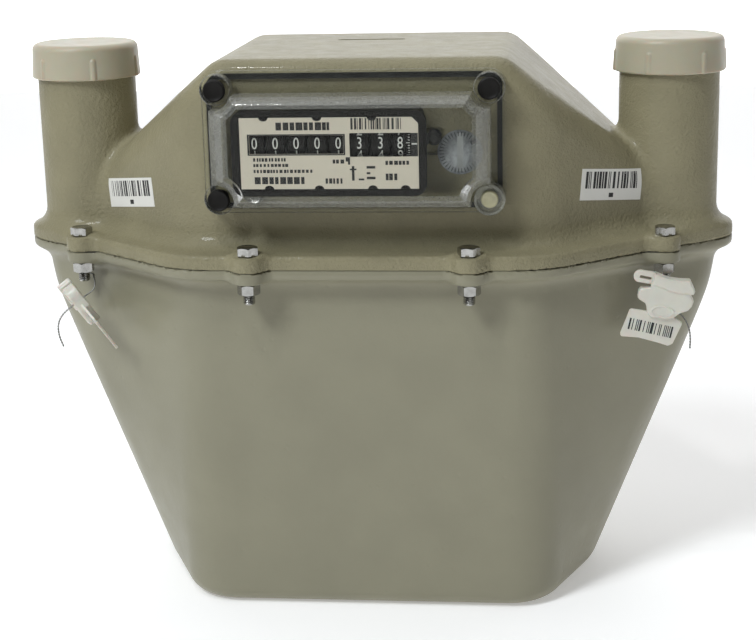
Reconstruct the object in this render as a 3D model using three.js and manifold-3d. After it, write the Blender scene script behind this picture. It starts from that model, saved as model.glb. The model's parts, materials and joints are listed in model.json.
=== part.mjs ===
// Diaphragm gas meter: cast two-part casing with two vertical pipe necks, a mechanical counter
// behind a clear cover, lead-type wire seals, and the measuring unit inside.
// Millimetres, +X right, +Y back, +Z up; origin on the floor under the middle of the casing.

import * as THREE from 'three';
import { mergeVertices } from 'three/addons/utils/BufferGeometryUtils.js';
import Module from 'manifold-3d';

const wasm = await Module();
wasm.setup();

// ---------- driving dimensions ----------

const GAP = 0.3; // clearance left between pieces that touch

// Casing
const PORT_SPACING = 250;
const PORT_X = PORT_SPACING / 2;
const PARTING_Z = 149.4;
const GASKET_THICKNESS = 0.4;
const JOINT_GAP = 0.4; // from the parting plane to each flange face
const CASING_TOP_Z = 231;
const CASING_WALL = 4;
const LOWER_WALL = 3;
const FLANGE_HALF_DEPTH = 74.3;
const FLANGE_CORNER_X = 72.6;
const FLANGE_APEX_X = 161.5;
const FLANGE_CORNER_RADIUS = 40;
const FLANGE_APEX_RADIUS = 15.3;
const UPPER_FLANGE_TOP_Z = 155.2;
const LOWER_FLANGE_BOTTOM_Z = 145;
const FACET_SLOPE = FLANGE_HALF_DEPTH / (FLANGE_APEX_X - FLANGE_CORNER_X);

// Upper casing above the flange
const FRONT_WALL_Y = -58;
const SHOULDER_X = 58; // half width of the flat top
const SHOULDER_SLOPE = 0.839; // fall of the shoulders, height over width
const SHOULDER_FOOT_X = 147;
const WALL_APEX_X = 139.7;

// Lower casing
const LOWER_TOP_HALF_DEPTH = 66;
const LOWER_BOTTOM_HALF_DEPTH = 61.5;
// Plan of the lower casing as [at the floor, at the parting].
const LOWER_CORNER_X = [74, 68];
const LOWER_APEX_RADII = [55, 15];
const LOWER_CORNER_RADII = [22, 26];
const LOWER_FLOOR_RADIUS = 8;
const LOWER_BEND_Z = [117, 126]; // the side leans in below the first and stands nearly upright above the second
const LOWER_BEND_HALF_WIDTH = [139.7, 143.2];
const LOWER_SIDE_LEAN = 0.394; // mm inwards per mm downwards
const LOWER_RIM_LEAN = 0.12;

// Flange bolts, M5
const INNER_BOLT = new THREE.Vector2(44, 74.5);
const OUTER_BOLT = new THREE.Vector2(122.3, 34.3);
const BOSS_RADIUS = 6.5;
const UPPER_BOSS_TOP_Z = 155.5;
const LOWER_BOSS_BOTTOM_Z = 144.4;
const HEX_RADIUS = 4.62; // across corners / 2, for 8 mm across flats
const BOLT_HEAD_HEIGHT = 3.5;
const BOLT_LENGTH = 20;
const BOLT_RADIUS = 2.5;
const BOLT_HOLE_RADIUS = 2.8;
const NUT_HEIGHT = 4.2;

// Pipe necks, G 1 1/4, and their caps
const NECK_RADIUS = 20.9;
const NECK_BORE_RADIUS = 15.5;
const CAP_RADIUS = 23.1;
const CAP_WALL = 1.9;
const CAP_RIM_Z = 219.2;
const CAP_TOP_Z = 233.7;
const CAP_RIB_COUNT = 6;

// Window cover in front of the counter
const COVER_SCREW_X = [-55.6, 52];
const COVER_SCREW_Z = [177, 220.5];
const COVER_RIM = { x0: -62.3, x1: 58.3, z0: 170.5, z1: 227.4 };
const COVER_BOX = { x0: -57, x1: 52.6, z0: 175.2, z1: 218.6 };
const COVER_BACK_Y = -59.6;
const COVER_RIM_FRONT_Y = -62;
const COVER_FRONT_Y = -78;
const COVER_WALL = 1.6;
const COVER_NOTCH_RADIUS = 7.2;
const COVER_BOSS_RADIUS = 6.2;
const COVER_BOSS_FRONT_Y = -67.7;
const CUP_BOSS_FRONT_Y = -66; // of the lower boss that carries the seal cup

// Counter
const FRAME_BOX = { x0: -48.5, x1: 27.9, z0: 179.7, z1: 213.1 };
const FRAME_HOLLOW = { x0: -43.8, x1: 23.6, z0: 184, z1: 209 };
const FRAME_FRONT_Y = -74.6;
const DIAL_BOX = { x0: -45, x1: 24.9, z0: 182.6, z1: 210.6 };
const DIAL_THICKNESS = 0.7;
const INTEGER_WINDOW = { x0: -41.3, x1: -4.3, z0: 196.4, z1: 203.7 };
const DECIMAL_WINDOW = { x0: -1.9, x1: 40, z0: 195.2, z1: 204.5 };
const WHEEL_COUNT = 8;
const WHEEL_PITCH = 8.26;
const FIRST_WHEEL_X = -39.5;
const WHEEL_RADIUS = 8.4;
const WHEEL_WIDTH = 7.2;
const WHEEL_Y = -65.8;
const WHEEL_Z = 200.4;
const WHEEL_SHAFT_RADIUS = 1.2;
const PINION_ROW_Z = 188.9;

// Measuring unit
const CHAMBER_DEPTH = 46; // half depth of the two chambers together
const TABLE_TOP_Z = 138;
const TABLE_BOTTOM_Z = 133;
const CHAMBER_FLOOR_Z = 18;
const FLAG_ROD_X = -28;
const FLAG_ROD_Y = 8;
const FLAG_LENGTH = 42;
const FLAG_REST_DEG = 20;
const ARM_REACH = 25; // of a flag arm, along X and along Y
const ARM_BOTTOM_Z = 152;
const LINK_BOTTOM_Z = 158.5;
const CRANK_X = 30;
const CRANK_PIN_THROW = 12;
const VALVE_DISTANCE = 45; // of a slide valve's middle from the crank axis
const CONTRATE_TEETH = 30;
const CONTRATE_RADIUS = 20;
const DRIVE_PINION_TEETH = 6;

// ---------- materials ----------

function material(color, roughness, metalness, opacity = 1) {
  return new THREE.MeshStandardMaterial({ color, roughness, metalness, opacity, transparent: opacity < 1 });
}

const paint = material(0x8f8c7c, 0.45, 0.1);
const lowerPaint = material(0x8b897b, 0.55, 0.1);
const rubber = material(0x1d1d1c, 0.8, 0);
const zinc = material(0xb9babb, 0.35, 1);
const capPlastic = material(0xd8d3c4, 0.45, 0);
const clearPlastic = material(0xe4e8e6, 0.08, 0, 0.3);
const blackPlastic = material(0x151516, 0.5, 0);
const dialPaper = material(0xd9d0bd, 0.6, 0);
const wheelPlastic = material(0x1a1a1b, 0.45, 0);
const sealPlastic = material(0xecebe6, 0.4, 0);
const steelWire = material(0x5a5a58, 0.4, 1);
const aluminium = material(0xa9abac, 0.45, 1);
const greyPlastic = material(0x6f7578, 0.5, 0);
const diaphragmCloth = material(0x3c3a36, 0.85, 0);

// ---------- solids and joins ----------

function solid(geometry) {
  const bare = geometry.clone();
  bare.deleteAttribute('normal');
  bare.deleteAttribute('uv');
  const welded = mergeVertices(bare, 1e-4);
  const index = welded.index.array;
  const faces = [];
  for (let i = 0; i < index.length; i += 3) {
    const [a, b, c] = [index[i], index[i + 1], index[i + 2]];
    if (a !== b && b !== c && c !== a) faces.push(a, b, c);
  }
  return new wasm.Manifold(new wasm.Mesh({
    numProp: 3,
    vertProperties: new Float32Array(welded.attributes.position.array),
    triVerts: new Uint32Array(faces),
  }));
}

function join(...solids) {
  return solids.reduce((whole, next) => whole.add(next));
}

function cut(whole, ...tools) {
  return tools.reduce((rest, tool) => rest.subtract(tool), whole);
}

function geometryOf(manifold) {
  const mesh = manifold.getMesh();
  const geometry = new THREE.BufferGeometry();
  geometry.setAttribute('position', new THREE.BufferAttribute(new Float32Array(mesh.vertProperties), 3));
  geometry.setIndex(new THREE.BufferAttribute(new Uint32Array(mesh.triVerts), 1));
  geometry.computeVertexNormals();
  return geometry;
}

const meter = new THREE.Group();

function addPiece(name, piece, pieceMaterial, placement) {
  const mesh = new THREE.Mesh(geometryOf(piece), pieceMaterial);
  mesh.name = name;
  if (placement) mesh.applyMatrix4(placement);
  meter.add(mesh);
  return mesh;
}

// ---------- shape helpers ----------

// Points round a convex outline whose corners are rounded by arcs.
function roundedOutline(corners, radii, steps = 3) {
  const points = [];
  corners.forEach((corner, i) => {
    const radius = radii[i];
    if (radius === 0) {
      points.push(corner.clone());
      return;
    }
    const before = corners[(i + corners.length - 1) % corners.length].clone().sub(corner).normalize();
    const after = corners[(i + 1) % corners.length].clone().sub(corner).normalize();
    const halfAngle = Math.acos(THREE.MathUtils.clamp(before.dot(after), -1, 1)) / 2;
    const toCentre = before.clone().add(after).normalize().multiplyScalar(radius / Math.sin(halfAngle));
    const centre = corner.clone().add(toCentre);
    const start = corner.clone().addScaledVector(before, radius / Math.tan(halfAngle)).sub(centre);
    const sweep = Math.PI - 2 * halfAngle;
    for (let k = 0; k <= steps; k += 1) {
      const turned = start.clone().rotateAround(new THREE.Vector2(0, 0), (sweep * k) / steps);
      points.push(turned.add(centre));
    }
  });
  return points;
}

function roundedRectangle({ x0, x1, z0, z1 }, radius, steps = 3) {
  const corners = [[x0, z0], [x1, z0], [x1, z1], [x0, z1]].map(([x, z]) => new THREE.Vector2(x, z));
  return roundedOutline(corners, [radius, radius, radius, radius], steps);
}

// A prism standing on an XY outline.
function upright(points, z0, z1) {
  const geometry = new THREE.ExtrudeGeometry(new THREE.Shape(points), { depth: z1 - z0, bevelEnabled: false });
  geometry.translate(0, 0, z0);
  return solid(geometry);
}

// A prism whose XZ outline runs along Y.
function through(points, y0, y1) {
  const geometry = new THREE.ExtrudeGeometry(new THREE.Shape(points), { depth: y1 - y0, bevelEnabled: false });
  geometry.rotateX(Math.PI / 2);
  geometry.translate(0, y1, 0);
  return solid(geometry);
}

function block(x0, x1, y0, y1, z0, z1) {
  const geometry = new THREE.BoxGeometry(x1 - x0, y1 - y0, z1 - z0);
  geometry.translate((x0 + x1) / 2, (y0 + y1) / 2, (z0 + z1) / 2);
  return solid(geometry);
}

function rodZ(x, y, z0, z1, radius, sides = 24) {
  const geometry = new THREE.CylinderGeometry(radius, radius, z1 - z0, sides);
  geometry.rotateX(Math.PI / 2);
  geometry.translate(x, y, (z0 + z1) / 2);
  return solid(geometry);
}

function rodY(x, z, y0, y1, radius, sides = 24) {
  const geometry = new THREE.CylinderGeometry(radius, radius, y1 - y0, sides);
  geometry.translate(x, (y0 + y1) / 2, z);
  return solid(geometry);
}

function rodX(y, z, x0, x1, radius, sides = 20, endRadius = radius) {
  const geometry = new THREE.CylinderGeometry(endRadius, radius, x1 - x0, sides);
  geometry.rotateZ(-Math.PI / 2);
  geometry.translate((x0 + x1) / 2, y, z);
  return solid(geometry);
}

// A body that changes its outline with height, from convex outlines of equal point count.
function loft(sections) {
  const count = sections[0].points.length;
  const positions = [];
  sections.forEach(({ z, points }) => points.forEach((p) => positions.push(p.x, p.y, z)));
  positions.push(0, 0, sections[0].z);
  positions.push(0, 0, sections[sections.length - 1].z);
  const floorCentre = sections.length * count;
  const roofCentre = floorCentre + 1;
  const faces = [];
  for (let i = 0; i < count; i += 1) {
    const next = (i + 1) % count;
    for (let level = 0; level < sections.length - 1; level += 1) {
      const low = level * count;
      const high = low + count;
      faces.push(low + i, low + next, high + next, low + i, high + next, high + i);
    }
    const roof = (sections.length - 1) * count;
    faces.push(roofCentre, roof + i, roof + next, floorCentre, next, i);
  }
  const geometry = new THREE.BufferGeometry();
  geometry.setAttribute('position', new THREE.Float32BufferAttribute(positions, 3));
  geometry.setIndex(faces);
  return solid(geometry);
}

// A round bar of few sides along a smooth curve through hand-chosen points.
function bar(route, radius, steps, sides = 8) {
  const ring = new THREE.Shape();
  for (let i = 0; i < sides; i += 1) {
    const angle = (2 * Math.PI * i) / sides;
    const [u, v] = [radius * Math.cos(angle), radius * Math.sin(angle)];
    if (i === 0) ring.moveTo(u, v);
    else ring.lineTo(u, v);
  }
  ring.closePath();
  const path = new THREE.CatmullRomCurve3(route.map((p) => new THREE.Vector3(...p)), false, 'centripetal');
  return solid(new THREE.ExtrudeGeometry(ring, { steps, extrudePath: path }));
}

// Gear outline with straight-sided teeth, as points round the origin.
function gearPoints(teeth, rootRadius, tipRadius, toothWidth, phase = 0) {
  const points = [];
  for (let i = 0; i < teeth; i += 1) {
    const middle = phase + (2 * Math.PI * i) / teeth;
    const rootHalf = Math.asin(toothWidth / 2 / rootRadius);
    const tipHalf = Math.asin(toothWidth / 2 / tipRadius) * 0.8;
    const corners = [[rootRadius, -rootHalf], [tipRadius, -tipHalf], [tipRadius, tipHalf], [rootRadius, rootHalf]];
    corners.forEach(([r, offset]) => {
      points.push(new THREE.Vector2(r * Math.cos(middle + offset), r * Math.sin(middle + offset)));
    });
  }
  return points;
}

// ---------- casing outlines ----------

// Six-sided plan, long in X, with rounded corners.
function hexagonPlan(halfDepth, cornerX, apexX, cornerRadius, apexRadius, steps = 4) {
  const corners = [
    [-cornerX, -halfDepth], [cornerX, -halfDepth], [apexX, 0],
    [cornerX, halfDepth], [-cornerX, halfDepth], [-apexX, 0],
  ].map(([x, y]) => new THREE.Vector2(x, y));
  const radii = [cornerRadius, cornerRadius, apexRadius, cornerRadius, cornerRadius, apexRadius];
  return roundedOutline(corners, radii, steps);
}

function flangePlan(inset) {
  const halfDepth = FLANGE_HALF_DEPTH - inset;
  const facetAngle = Math.atan(FACET_SLOPE);
  const apexX = FLANGE_APEX_X - inset / Math.sin(facetAngle);
  const cornerX = apexX - halfDepth / FACET_SLOPE;
  return hexagonPlan(halfDepth, cornerX, apexX, FLANGE_CORNER_RADIUS - inset, FLANGE_APEX_RADIUS - inset);
}

function boltPlaces() {
  const places = [];
  for (const side of [-1, 1]) {
    for (const bolt of [INNER_BOLT, OUTER_BOLT]) {
      places.push(new THREE.Vector2(-bolt.x, side * bolt.y));
      places.push(new THREE.Vector2(bolt.x, side * bolt.y));
    }
  }
  return places;
}

const BOLT_PLACES = boltPlaces();

// ---------- upper casing ----------

const WALL_CORNER_RADIUS = 34;
const WALL_APEX_RADIUS = 12;
const SHOULDER_RADIUS = 9;
const SCREW_LUG = { radius: 4.5, backY: -47, holeEndY: -48.5, holeRadius: 1.9 };
const SHAFT_LUG = { radius: 5.5, backY: -46, holeEndY: -40, holeRadius: 2.4 };
// Shallow pocket behind the number wheels, and the slot beside it for the drive.
const WHEEL_POCKET = { x0: -46, x1: 25.5, depthY: -56.5, z0: 190, z1: 210.5 };
const DRIVE_SLOT = { x0: 26.8, x1: 33.3, depthY: -55.4, z0: 193, z1: 203.6 };

function upperHull(wall, floorZ) {
  const apexX = WALL_APEX_X - wall / Math.sin(Math.atan(FACET_SLOPE));
  const halfDepth = -FRONT_WALL_Y - wall;
  const cornerX = apexX - halfDepth / FACET_SLOPE;
  const outline = hexagonPlan(halfDepth, cornerX, apexX, WALL_CORNER_RADIUS - wall, WALL_APEX_RADIUS - wall);
  const plan = upright(outline, floorZ, CASING_TOP_Z - wall);
  const drop = wall * Math.sqrt(1 + SHOULDER_SLOPE ** 2);
  const shoulderX = SHOULDER_X + (wall - drop) / SHOULDER_SLOPE;
  const footZ = CASING_TOP_Z - drop - (SHOULDER_FOOT_X - SHOULDER_X) * SHOULDER_SLOPE;
  const corners = [
    [-SHOULDER_FOOT_X, floorZ], [SHOULDER_FOOT_X, floorZ], [SHOULDER_FOOT_X, footZ],
    [shoulderX, CASING_TOP_Z - wall], [-shoulderX, CASING_TOP_Z - wall], [-SHOULDER_FOOT_X, footZ],
  ].map(([x, z]) => new THREE.Vector2(x, z));
  const profile = through(roundedOutline(corners, [0, 0, 0, SHOULDER_RADIUS, SHOULDER_RADIUS, 0]), -80, 80);
  return plan.intersect(profile);
}

function upperCasing() {
  const floorZ = PARTING_Z + JOINT_GAP;
  let shell = join(upperHull(0, floorZ), upright(flangePlan(0), floorZ, UPPER_FLANGE_TOP_Z));
  let hollow = upperHull(CASING_WALL, floorZ - 1);
  for (const place of BOLT_PLACES) {
    shell = shell.add(rodZ(place.x, place.y, floorZ, UPPER_BOSS_TOP_Z, BOSS_RADIUS, 16));
  }
  for (const side of [-1, 1]) {
    shell = shell.add(rodZ(side * PORT_X, 0, floorZ, CASING_TOP_Z, NECK_RADIUS, 36));
    hollow = hollow.add(rodZ(side * PORT_X, 0, floorZ - 1, CASING_TOP_Z + 1, NECK_BORE_RADIUS, 24));
  }
  for (const x of COVER_SCREW_X) {
    for (const z of COVER_SCREW_Z) {
      hollow = hollow.subtract(rodY(x, z, FRONT_WALL_Y, SCREW_LUG.backY, SCREW_LUG.radius, 12));
    }
  }
  hollow = hollow.subtract(rodY(CRANK_X, WHEEL_Z, FRONT_WALL_Y, SHAFT_LUG.backY, SHAFT_LUG.radius, 16));
  shell = shell.subtract(hollow);
  for (const place of BOLT_PLACES) {
    shell = shell.subtract(rodZ(place.x, place.y, floorZ - 1, UPPER_BOSS_TOP_Z + 1, BOLT_HOLE_RADIUS, 10));
  }
  for (const x of COVER_SCREW_X) {
    for (const z of COVER_SCREW_Z) {
      shell = shell.subtract(rodY(x, z, FRONT_WALL_Y - 1, SCREW_LUG.holeEndY, SCREW_LUG.holeRadius, 12));
    }
  }
  for (const { x0, x1, depthY, z0, z1 } of [WHEEL_POCKET, DRIVE_SLOT]) {
    shell = shell.subtract(block(x0, x1, FRONT_WALL_Y - 1, depthY, z0, z1));
  }
  return shell.subtract(rodY(CRANK_X, WHEEL_Z, FRONT_WALL_Y - 1, SHAFT_LUG.holeEndY, SHAFT_LUG.holeRadius, 16));
}

addPiece('upper_casing', upperCasing(), paint);

// ---------- lower casing ----------

// Half width of the lower casing on the middle plane: nearly upright under the flange, then a
// straight slope to the floor.
function lowerHalfWidth(z) {
  const [bendZ, rimZ] = LOWER_BEND_Z;
  const [bendHalf, rimHalf] = LOWER_BEND_HALF_WIDTH;
  if (z > rimZ) return rimHalf + (z - rimZ) * LOWER_RIM_LEAN;
  if (z > bendZ) return bendHalf + ((z - bendZ) * (rimHalf - bendHalf)) / (rimZ - bendZ);
  return bendHalf - (bendZ - z) * LOWER_SIDE_LEAN;
}

function lowerHalfDepth(z) {
  return THREE.MathUtils.lerp(LOWER_BOTTOM_HALF_DEPTH, LOWER_TOP_HALF_DEPTH, z / PARTING_Z);
}

// Apex of the unrounded plan whose rounded end reaches the given half width.
function apexFor(extreme, cornerX, halfDepth, radius) {
  let apexX = extreme;
  for (let i = 0; i < 12; i += 1) {
    const sine = halfDepth / Math.hypot(halfDepth, apexX - cornerX);
    apexX = extreme + radius * (1 / sine - 1);
  }
  return apexX;
}

function lowerSection(z, wall) {
  const share = z / PARTING_Z;
  const rise = Math.max(0, LOWER_FLOOR_RADIUS - (z - wall));
  const tuck = LOWER_FLOOR_RADIUS - Math.sqrt(Math.max(0, LOWER_FLOOR_RADIUS ** 2 - rise ** 2));
  const halfDepth = lowerHalfDepth(z) - wall - tuck;
  const cornerX = THREE.MathUtils.lerp(...LOWER_CORNER_X, share) - wall * 0.5 - tuck * 0.5;
  const cornerRadius = THREE.MathUtils.lerp(...LOWER_CORNER_RADII, share) - tuck;
  const apexRadius = THREE.MathUtils.lerp(...LOWER_APEX_RADII, share) - tuck;
  const apexX = apexFor(lowerHalfWidth(z) - wall - tuck, cornerX, halfDepth, apexRadius);
  return { z, points: hexagonPlan(halfDepth, cornerX, apexX, cornerRadius, apexRadius, 4) };
}

function lowerHull(wall, topZ) {
  const tuckLevels = [0, 0.15, 0.5, 1].map((share) => share * LOWER_FLOOR_RADIUS);
  const levels = [...tuckLevels, 60, ...LOWER_BEND_Z].map((z) => z + wall);
  return loft([...levels, topZ].map((z) => lowerSection(z, wall)));
}

function lowerCasing() {
  const topZ = PARTING_Z - JOINT_GAP;
  let shell = join(lowerHull(0, topZ), upright(flangePlan(0), LOWER_FLANGE_BOTTOM_Z, topZ));
  for (const place of BOLT_PLACES) {
    shell = shell.add(rodZ(place.x, place.y, LOWER_BOSS_BOTTOM_Z, topZ, BOSS_RADIUS, 16));
  }
  shell = shell.subtract(lowerHull(LOWER_WALL, topZ + 1));
  for (const place of BOLT_PLACES) {
    shell = shell.subtract(rodZ(place.x, place.y, LOWER_BOSS_BOTTOM_Z - 1, topZ + 1, BOLT_HOLE_RADIUS, 10));
  }
  return shell;
}

addPiece('lower_casing', lowerCasing(), lowerPaint);

function casingGasket() {
  const [z0, z1] = [PARTING_Z - GASKET_THICKNESS / 2, PARTING_Z + GASKET_THICKNESS / 2];
  let ring = upright(flangePlan(0.8), z0, z1);
  for (const place of BOLT_PLACES) ring = ring.add(rodZ(place.x, place.y, z0, z1, BOSS_RADIUS - 0.8, 10));
  ring = ring.subtract(upright(lowerSection(PARTING_Z, LOWER_WALL - 0.5).points, z0 - 1, z1 + 1));
  for (const place of BOLT_PLACES) ring = ring.subtract(rodZ(place.x, place.y, z0 - 1, z1 + 1, BOLT_HOLE_RADIUS, 10));
  return ring;
}

addPiece('casing_gasket', casingGasket(), rubber);

// ---------- flange bolts and nuts ----------

BOLT_PLACES.forEach((place, i) => {
  const headZ = UPPER_BOSS_TOP_Z + GAP;
  const nutTopZ = LOWER_BOSS_BOTTOM_Z - GAP;
  const head = rodZ(place.x, place.y, headZ, headZ + BOLT_HEAD_HEIGHT, HEX_RADIUS, 6);
  const shank = rodZ(place.x, place.y, headZ - BOLT_LENGTH, headZ + 1, BOLT_RADIUS, 12);
  addPiece(`flange_bolt_${i + 1}`, join(head, shank), zinc);
  const nut = rodZ(place.x, place.y, nutTopZ - NUT_HEIGHT, nutTopZ, HEX_RADIUS, 6);
  const bore = rodZ(place.x, place.y, nutTopZ - NUT_HEIGHT - 1, nutTopZ + 1, BOLT_HOLE_RADIUS, 12);
  addPiece(`flange_nut_${i + 1}`, nut.subtract(bore), zinc);
});

// ---------- port caps ----------

function portCap(x, firstRibDeg) {
  const inner = CAP_RADIUS - CAP_WALL;
  const innerTopZ = CASING_TOP_Z + GAP;
  const edge = 2.6;
  const profile = [
    [0, innerTopZ], [inner, innerTopZ], [inner, CAP_RIM_Z], [CAP_RADIUS, CAP_RIM_Z],
    [CAP_RADIUS, CAP_TOP_Z - edge], [CAP_RADIUS - edge * 0.3, CAP_TOP_Z - edge * 0.3],
    [CAP_RADIUS - edge, CAP_TOP_Z], [0, CAP_TOP_Z],
  ].map(([r, z]) => new THREE.Vector2(r, z));
  const cup = new THREE.LatheGeometry(profile, 28);
  cup.rotateX(Math.PI / 2);
  cup.translate(x, 0, 0);
  let cap = solid(cup);
  for (let i = 0; i < CAP_RIB_COUNT; i += 1) {
    const angle = THREE.MathUtils.degToRad(firstRibDeg + (360 / CAP_RIB_COUNT) * i - 90);
    const reach = CAP_RADIUS - 0.4;
    const rib = rodZ(x + reach * Math.cos(angle), reach * Math.sin(angle), CAP_RIM_Z, CAP_RIM_Z + 9, 1.1, 6);
    cap = cap.add(rib);
  }
  return cap;
}

addPiece('inlet_port_cap', portCap(-PORT_X, -37.5), capPlastic);
addPiece('outlet_port_cap', portCap(PORT_X, -26), capPlastic);

// ---------- window cover and its screws ----------

function grown({ x0, x1, z0, z1 }, amount) {
  return { x0: x0 - amount, x1: x1 + amount, z0: z0 - amount, z1: z1 + amount };
}

function screwPlaces() {
  return COVER_SCREW_Z.flatMap((z) => COVER_SCREW_X.map((x) => ({ x, z })));
}

// Raised box of the cover with a hollow corner round each screw.
function notchedBox(box, notchRadius, y0, y1) {
  const raised = through(roundedRectangle(box, 2), y0, y1);
  return cut(raised, ...screwPlaces().map(({ x, z }) => rodY(x, z, y0 - 1, y1 + 1, notchRadius, 20)));
}

function windowCover() {
  const rim = through(roundedRectangle(COVER_RIM, 6.5), COVER_RIM_FRONT_Y, COVER_BACK_Y);
  let cover = rim.add(notchedBox(COVER_BOX, COVER_NOTCH_RADIUS, COVER_FRONT_Y, COVER_BACK_Y));
  for (const { x, z } of screwPlaces()) {
    const front = x > 0 && z < 200 ? CUP_BOSS_FRONT_Y : COVER_BOSS_FRONT_Y;
    cover = cover.add(rodY(x, z, front, COVER_BACK_Y, COVER_BOSS_RADIUS, 18));
  }
  const hollow = notchedBox(
    grown(COVER_BOX, -COVER_WALL), COVER_NOTCH_RADIUS + COVER_WALL - 0.1, COVER_FRONT_Y + 2, COVER_BACK_Y + 1);
  cover = cover.subtract(hollow);
  return cut(cover, ...screwPlaces().map(({ x, z }) => rodY(x, z, -80, COVER_BACK_Y + 1, 2.1, 10)));
}

addPiece('window_cover', windowCover(), clearPlastic);

function windowGasket() {
  const outer = through(roundedRectangle(grown(COVER_RIM, -1.1), 5.4), FRONT_WALL_Y - 1.3, FRONT_WALL_Y - GAP);
  const inner = through(roundedRectangle(grown(COVER_BOX, 1.4), 2), FRONT_WALL_Y - 3, FRONT_WALL_Y + 1);
  let ring = outer.subtract(cut(inner, ...screwPlaces().map(({ x, z }) => rodY(x, z, -64, -50, 5, 20))));
  ring = cut(ring, ...screwPlaces().map(({ x, z }) => rodY(x, z, -64, -50, 2.3, 14)));
  return ring;
}

addPiece('window_gasket', windowGasket(), rubber);

screwPlaces().forEach(({ x, z }, i) => {
  const underCup = x > 0 && z < 200;
  const headBackY = underCup ? -67.6 : COVER_BOSS_FRONT_Y - GAP;
  const headDepth = underCup ? 2 : 2.5;
  const head = rodY(x, z, headBackY - headDepth, headBackY, underCup ? 3.4 : 4.4, 24);
  const shank = rodY(x, z, headBackY - 1, -49, 1.6, 10);
  addPiece(`cover_screw_${i + 1}`, head.add(shank), underCup ? zinc : blackPlastic);
});

function sealCup() {
  const [x, z] = [COVER_SCREW_X[1], COVER_SCREW_Z[0]];
  const cup = rodY(x, z, -70.6, CUP_BOSS_FRONT_Y - GAP, 6.2, 32);
  return cut(cup, rodY(x, z, -72, -67.3, 5, 28), rodY(x, z, -72, -60, 2.1, 14));
}

addPiece('seal_cup', sealCup(), clearPlastic);

// ---------- counter ----------

function counterFrame() {
  const backY = FRONT_WALL_Y - GAP;
  const plateBackY = FRAME_FRONT_Y + 2.4;
  const body = through(roundedRectangle({ ...FRAME_BOX, x1: 26.2 }, 4.5), FRAME_FRONT_Y, backY);
  const plate = through(roundedRectangle(FRAME_BOX, 4.5), FRAME_FRONT_Y, plateBackY);
  const hollow = through(roundedRectangle(FRAME_HOLLOW, 1.5), FRAME_FRONT_Y - 1, backY + 1);
  const wheelBearing = rodX(WHEEL_Y, WHEEL_Z, -60, 40, WHEEL_SHAFT_RADIUS + GAP, 16);
  const pinionBearing = rodX(WHEEL_Y, PINION_ROW_Z, -60, 25.2, 0.8 + GAP, 12);
  return cut(body.add(plate), hollow, wheelBearing, pinionBearing);
}

addPiece('counter_frame', counterFrame(), blackPlastic);

function dialPlate() {
  const backY = FRAME_FRONT_Y - GAP;
  const sheet = through(roundedRectangle(DIAL_BOX, 0.8), backY - DIAL_THICKNESS, backY);
  const windows = [INTEGER_WINDOW, DECIMAL_WINDOW].map((box) => through(roundedRectangle(box, 0.4), -90, -60));
  return cut(sheet, ...windows);
}

addPiece('dial_plate', dialPlate(), dialPaper);

function numberWheel() {
  const half = WHEEL_WIDTH / 2;
  const bore = WHEEL_SHAFT_RADIUS + GAP;
  const profile = [
    [bore, -half], [WHEEL_RADIUS, -half], [WHEEL_RADIUS, half], [WHEEL_RADIUS - 1.2, half],
    [bore, half - 2], [bore, -half],
  ].map(([r, x]) => new THREE.Vector2(r, x));
  const wheel = new THREE.LatheGeometry(profile, 20);
  wheel.rotateZ(-Math.PI / 2);
  return solid(wheel);
}

for (let i = 0; i < WHEEL_COUNT; i += 1) {
  const place = new THREE.Matrix4().makeTranslation(FIRST_WHEEL_X + i * WHEEL_PITCH, WHEEL_Y, WHEEL_Z);
  addPiece(`number_wheel_${i + 1}`, numberWheel(), wheelPlastic, place);
}

// The wheel shaft ends in the small cone that the drive shaft's cone turns.
function wheelShaft() {
  const shaft = rodX(WHEEL_Y, WHEEL_Z, -46.5, 28, WHEEL_SHAFT_RADIUS, 14);
  return shaft.add(rodX(WHEEL_Y, WHEEL_Z, 27, 28.4, 2.9, 20, 1.5));
}

addPiece('wheel_shaft', wheelShaft(), zinc);

function carryPinionRow() {
  let row = rodX(WHEEL_Y, PINION_ROW_Z, -45.5, 25, 0.8, 6);
  for (let i = 0; i < WHEEL_COUNT - 1; i += 1) {
    const x = FIRST_WHEEL_X + (i + 0.5) * WHEEL_PITCH;
    row = row.add(rodX(WHEEL_Y, PINION_ROW_Z, x - 1.3, x + 1.3, 2.5, 6));
  }
  return row;
}

addPiece('carry_pinion_row', carryPinionRow(), wheelPlastic);

// ---------- measuring unit ----------

// Upright trapezium with rounded corners: the side view of a chamber, shrunk by an inset.
function chamberOutline(inset) {
  const corners = [
    [-62 + inset, CHAMBER_FLOOR_Z + inset], [62 - inset, CHAMBER_FLOOR_Z + inset],
    [74 - inset, TABLE_BOTTOM_Z - inset], [-74 + inset, TABLE_BOTTOM_Z - inset],
  ].map(([x, z]) => new THREE.Vector2(x, z));
  const radius = Math.max(4, 16 - inset);
  return roundedOutline(corners, [radius, radius, radius, radius], 5);
}

const BRACKET = { x0: 22, x1: 38, frontY: -20, backY: 6, sheet: 2, shelfZ: 167, topZ: 206 };

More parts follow.
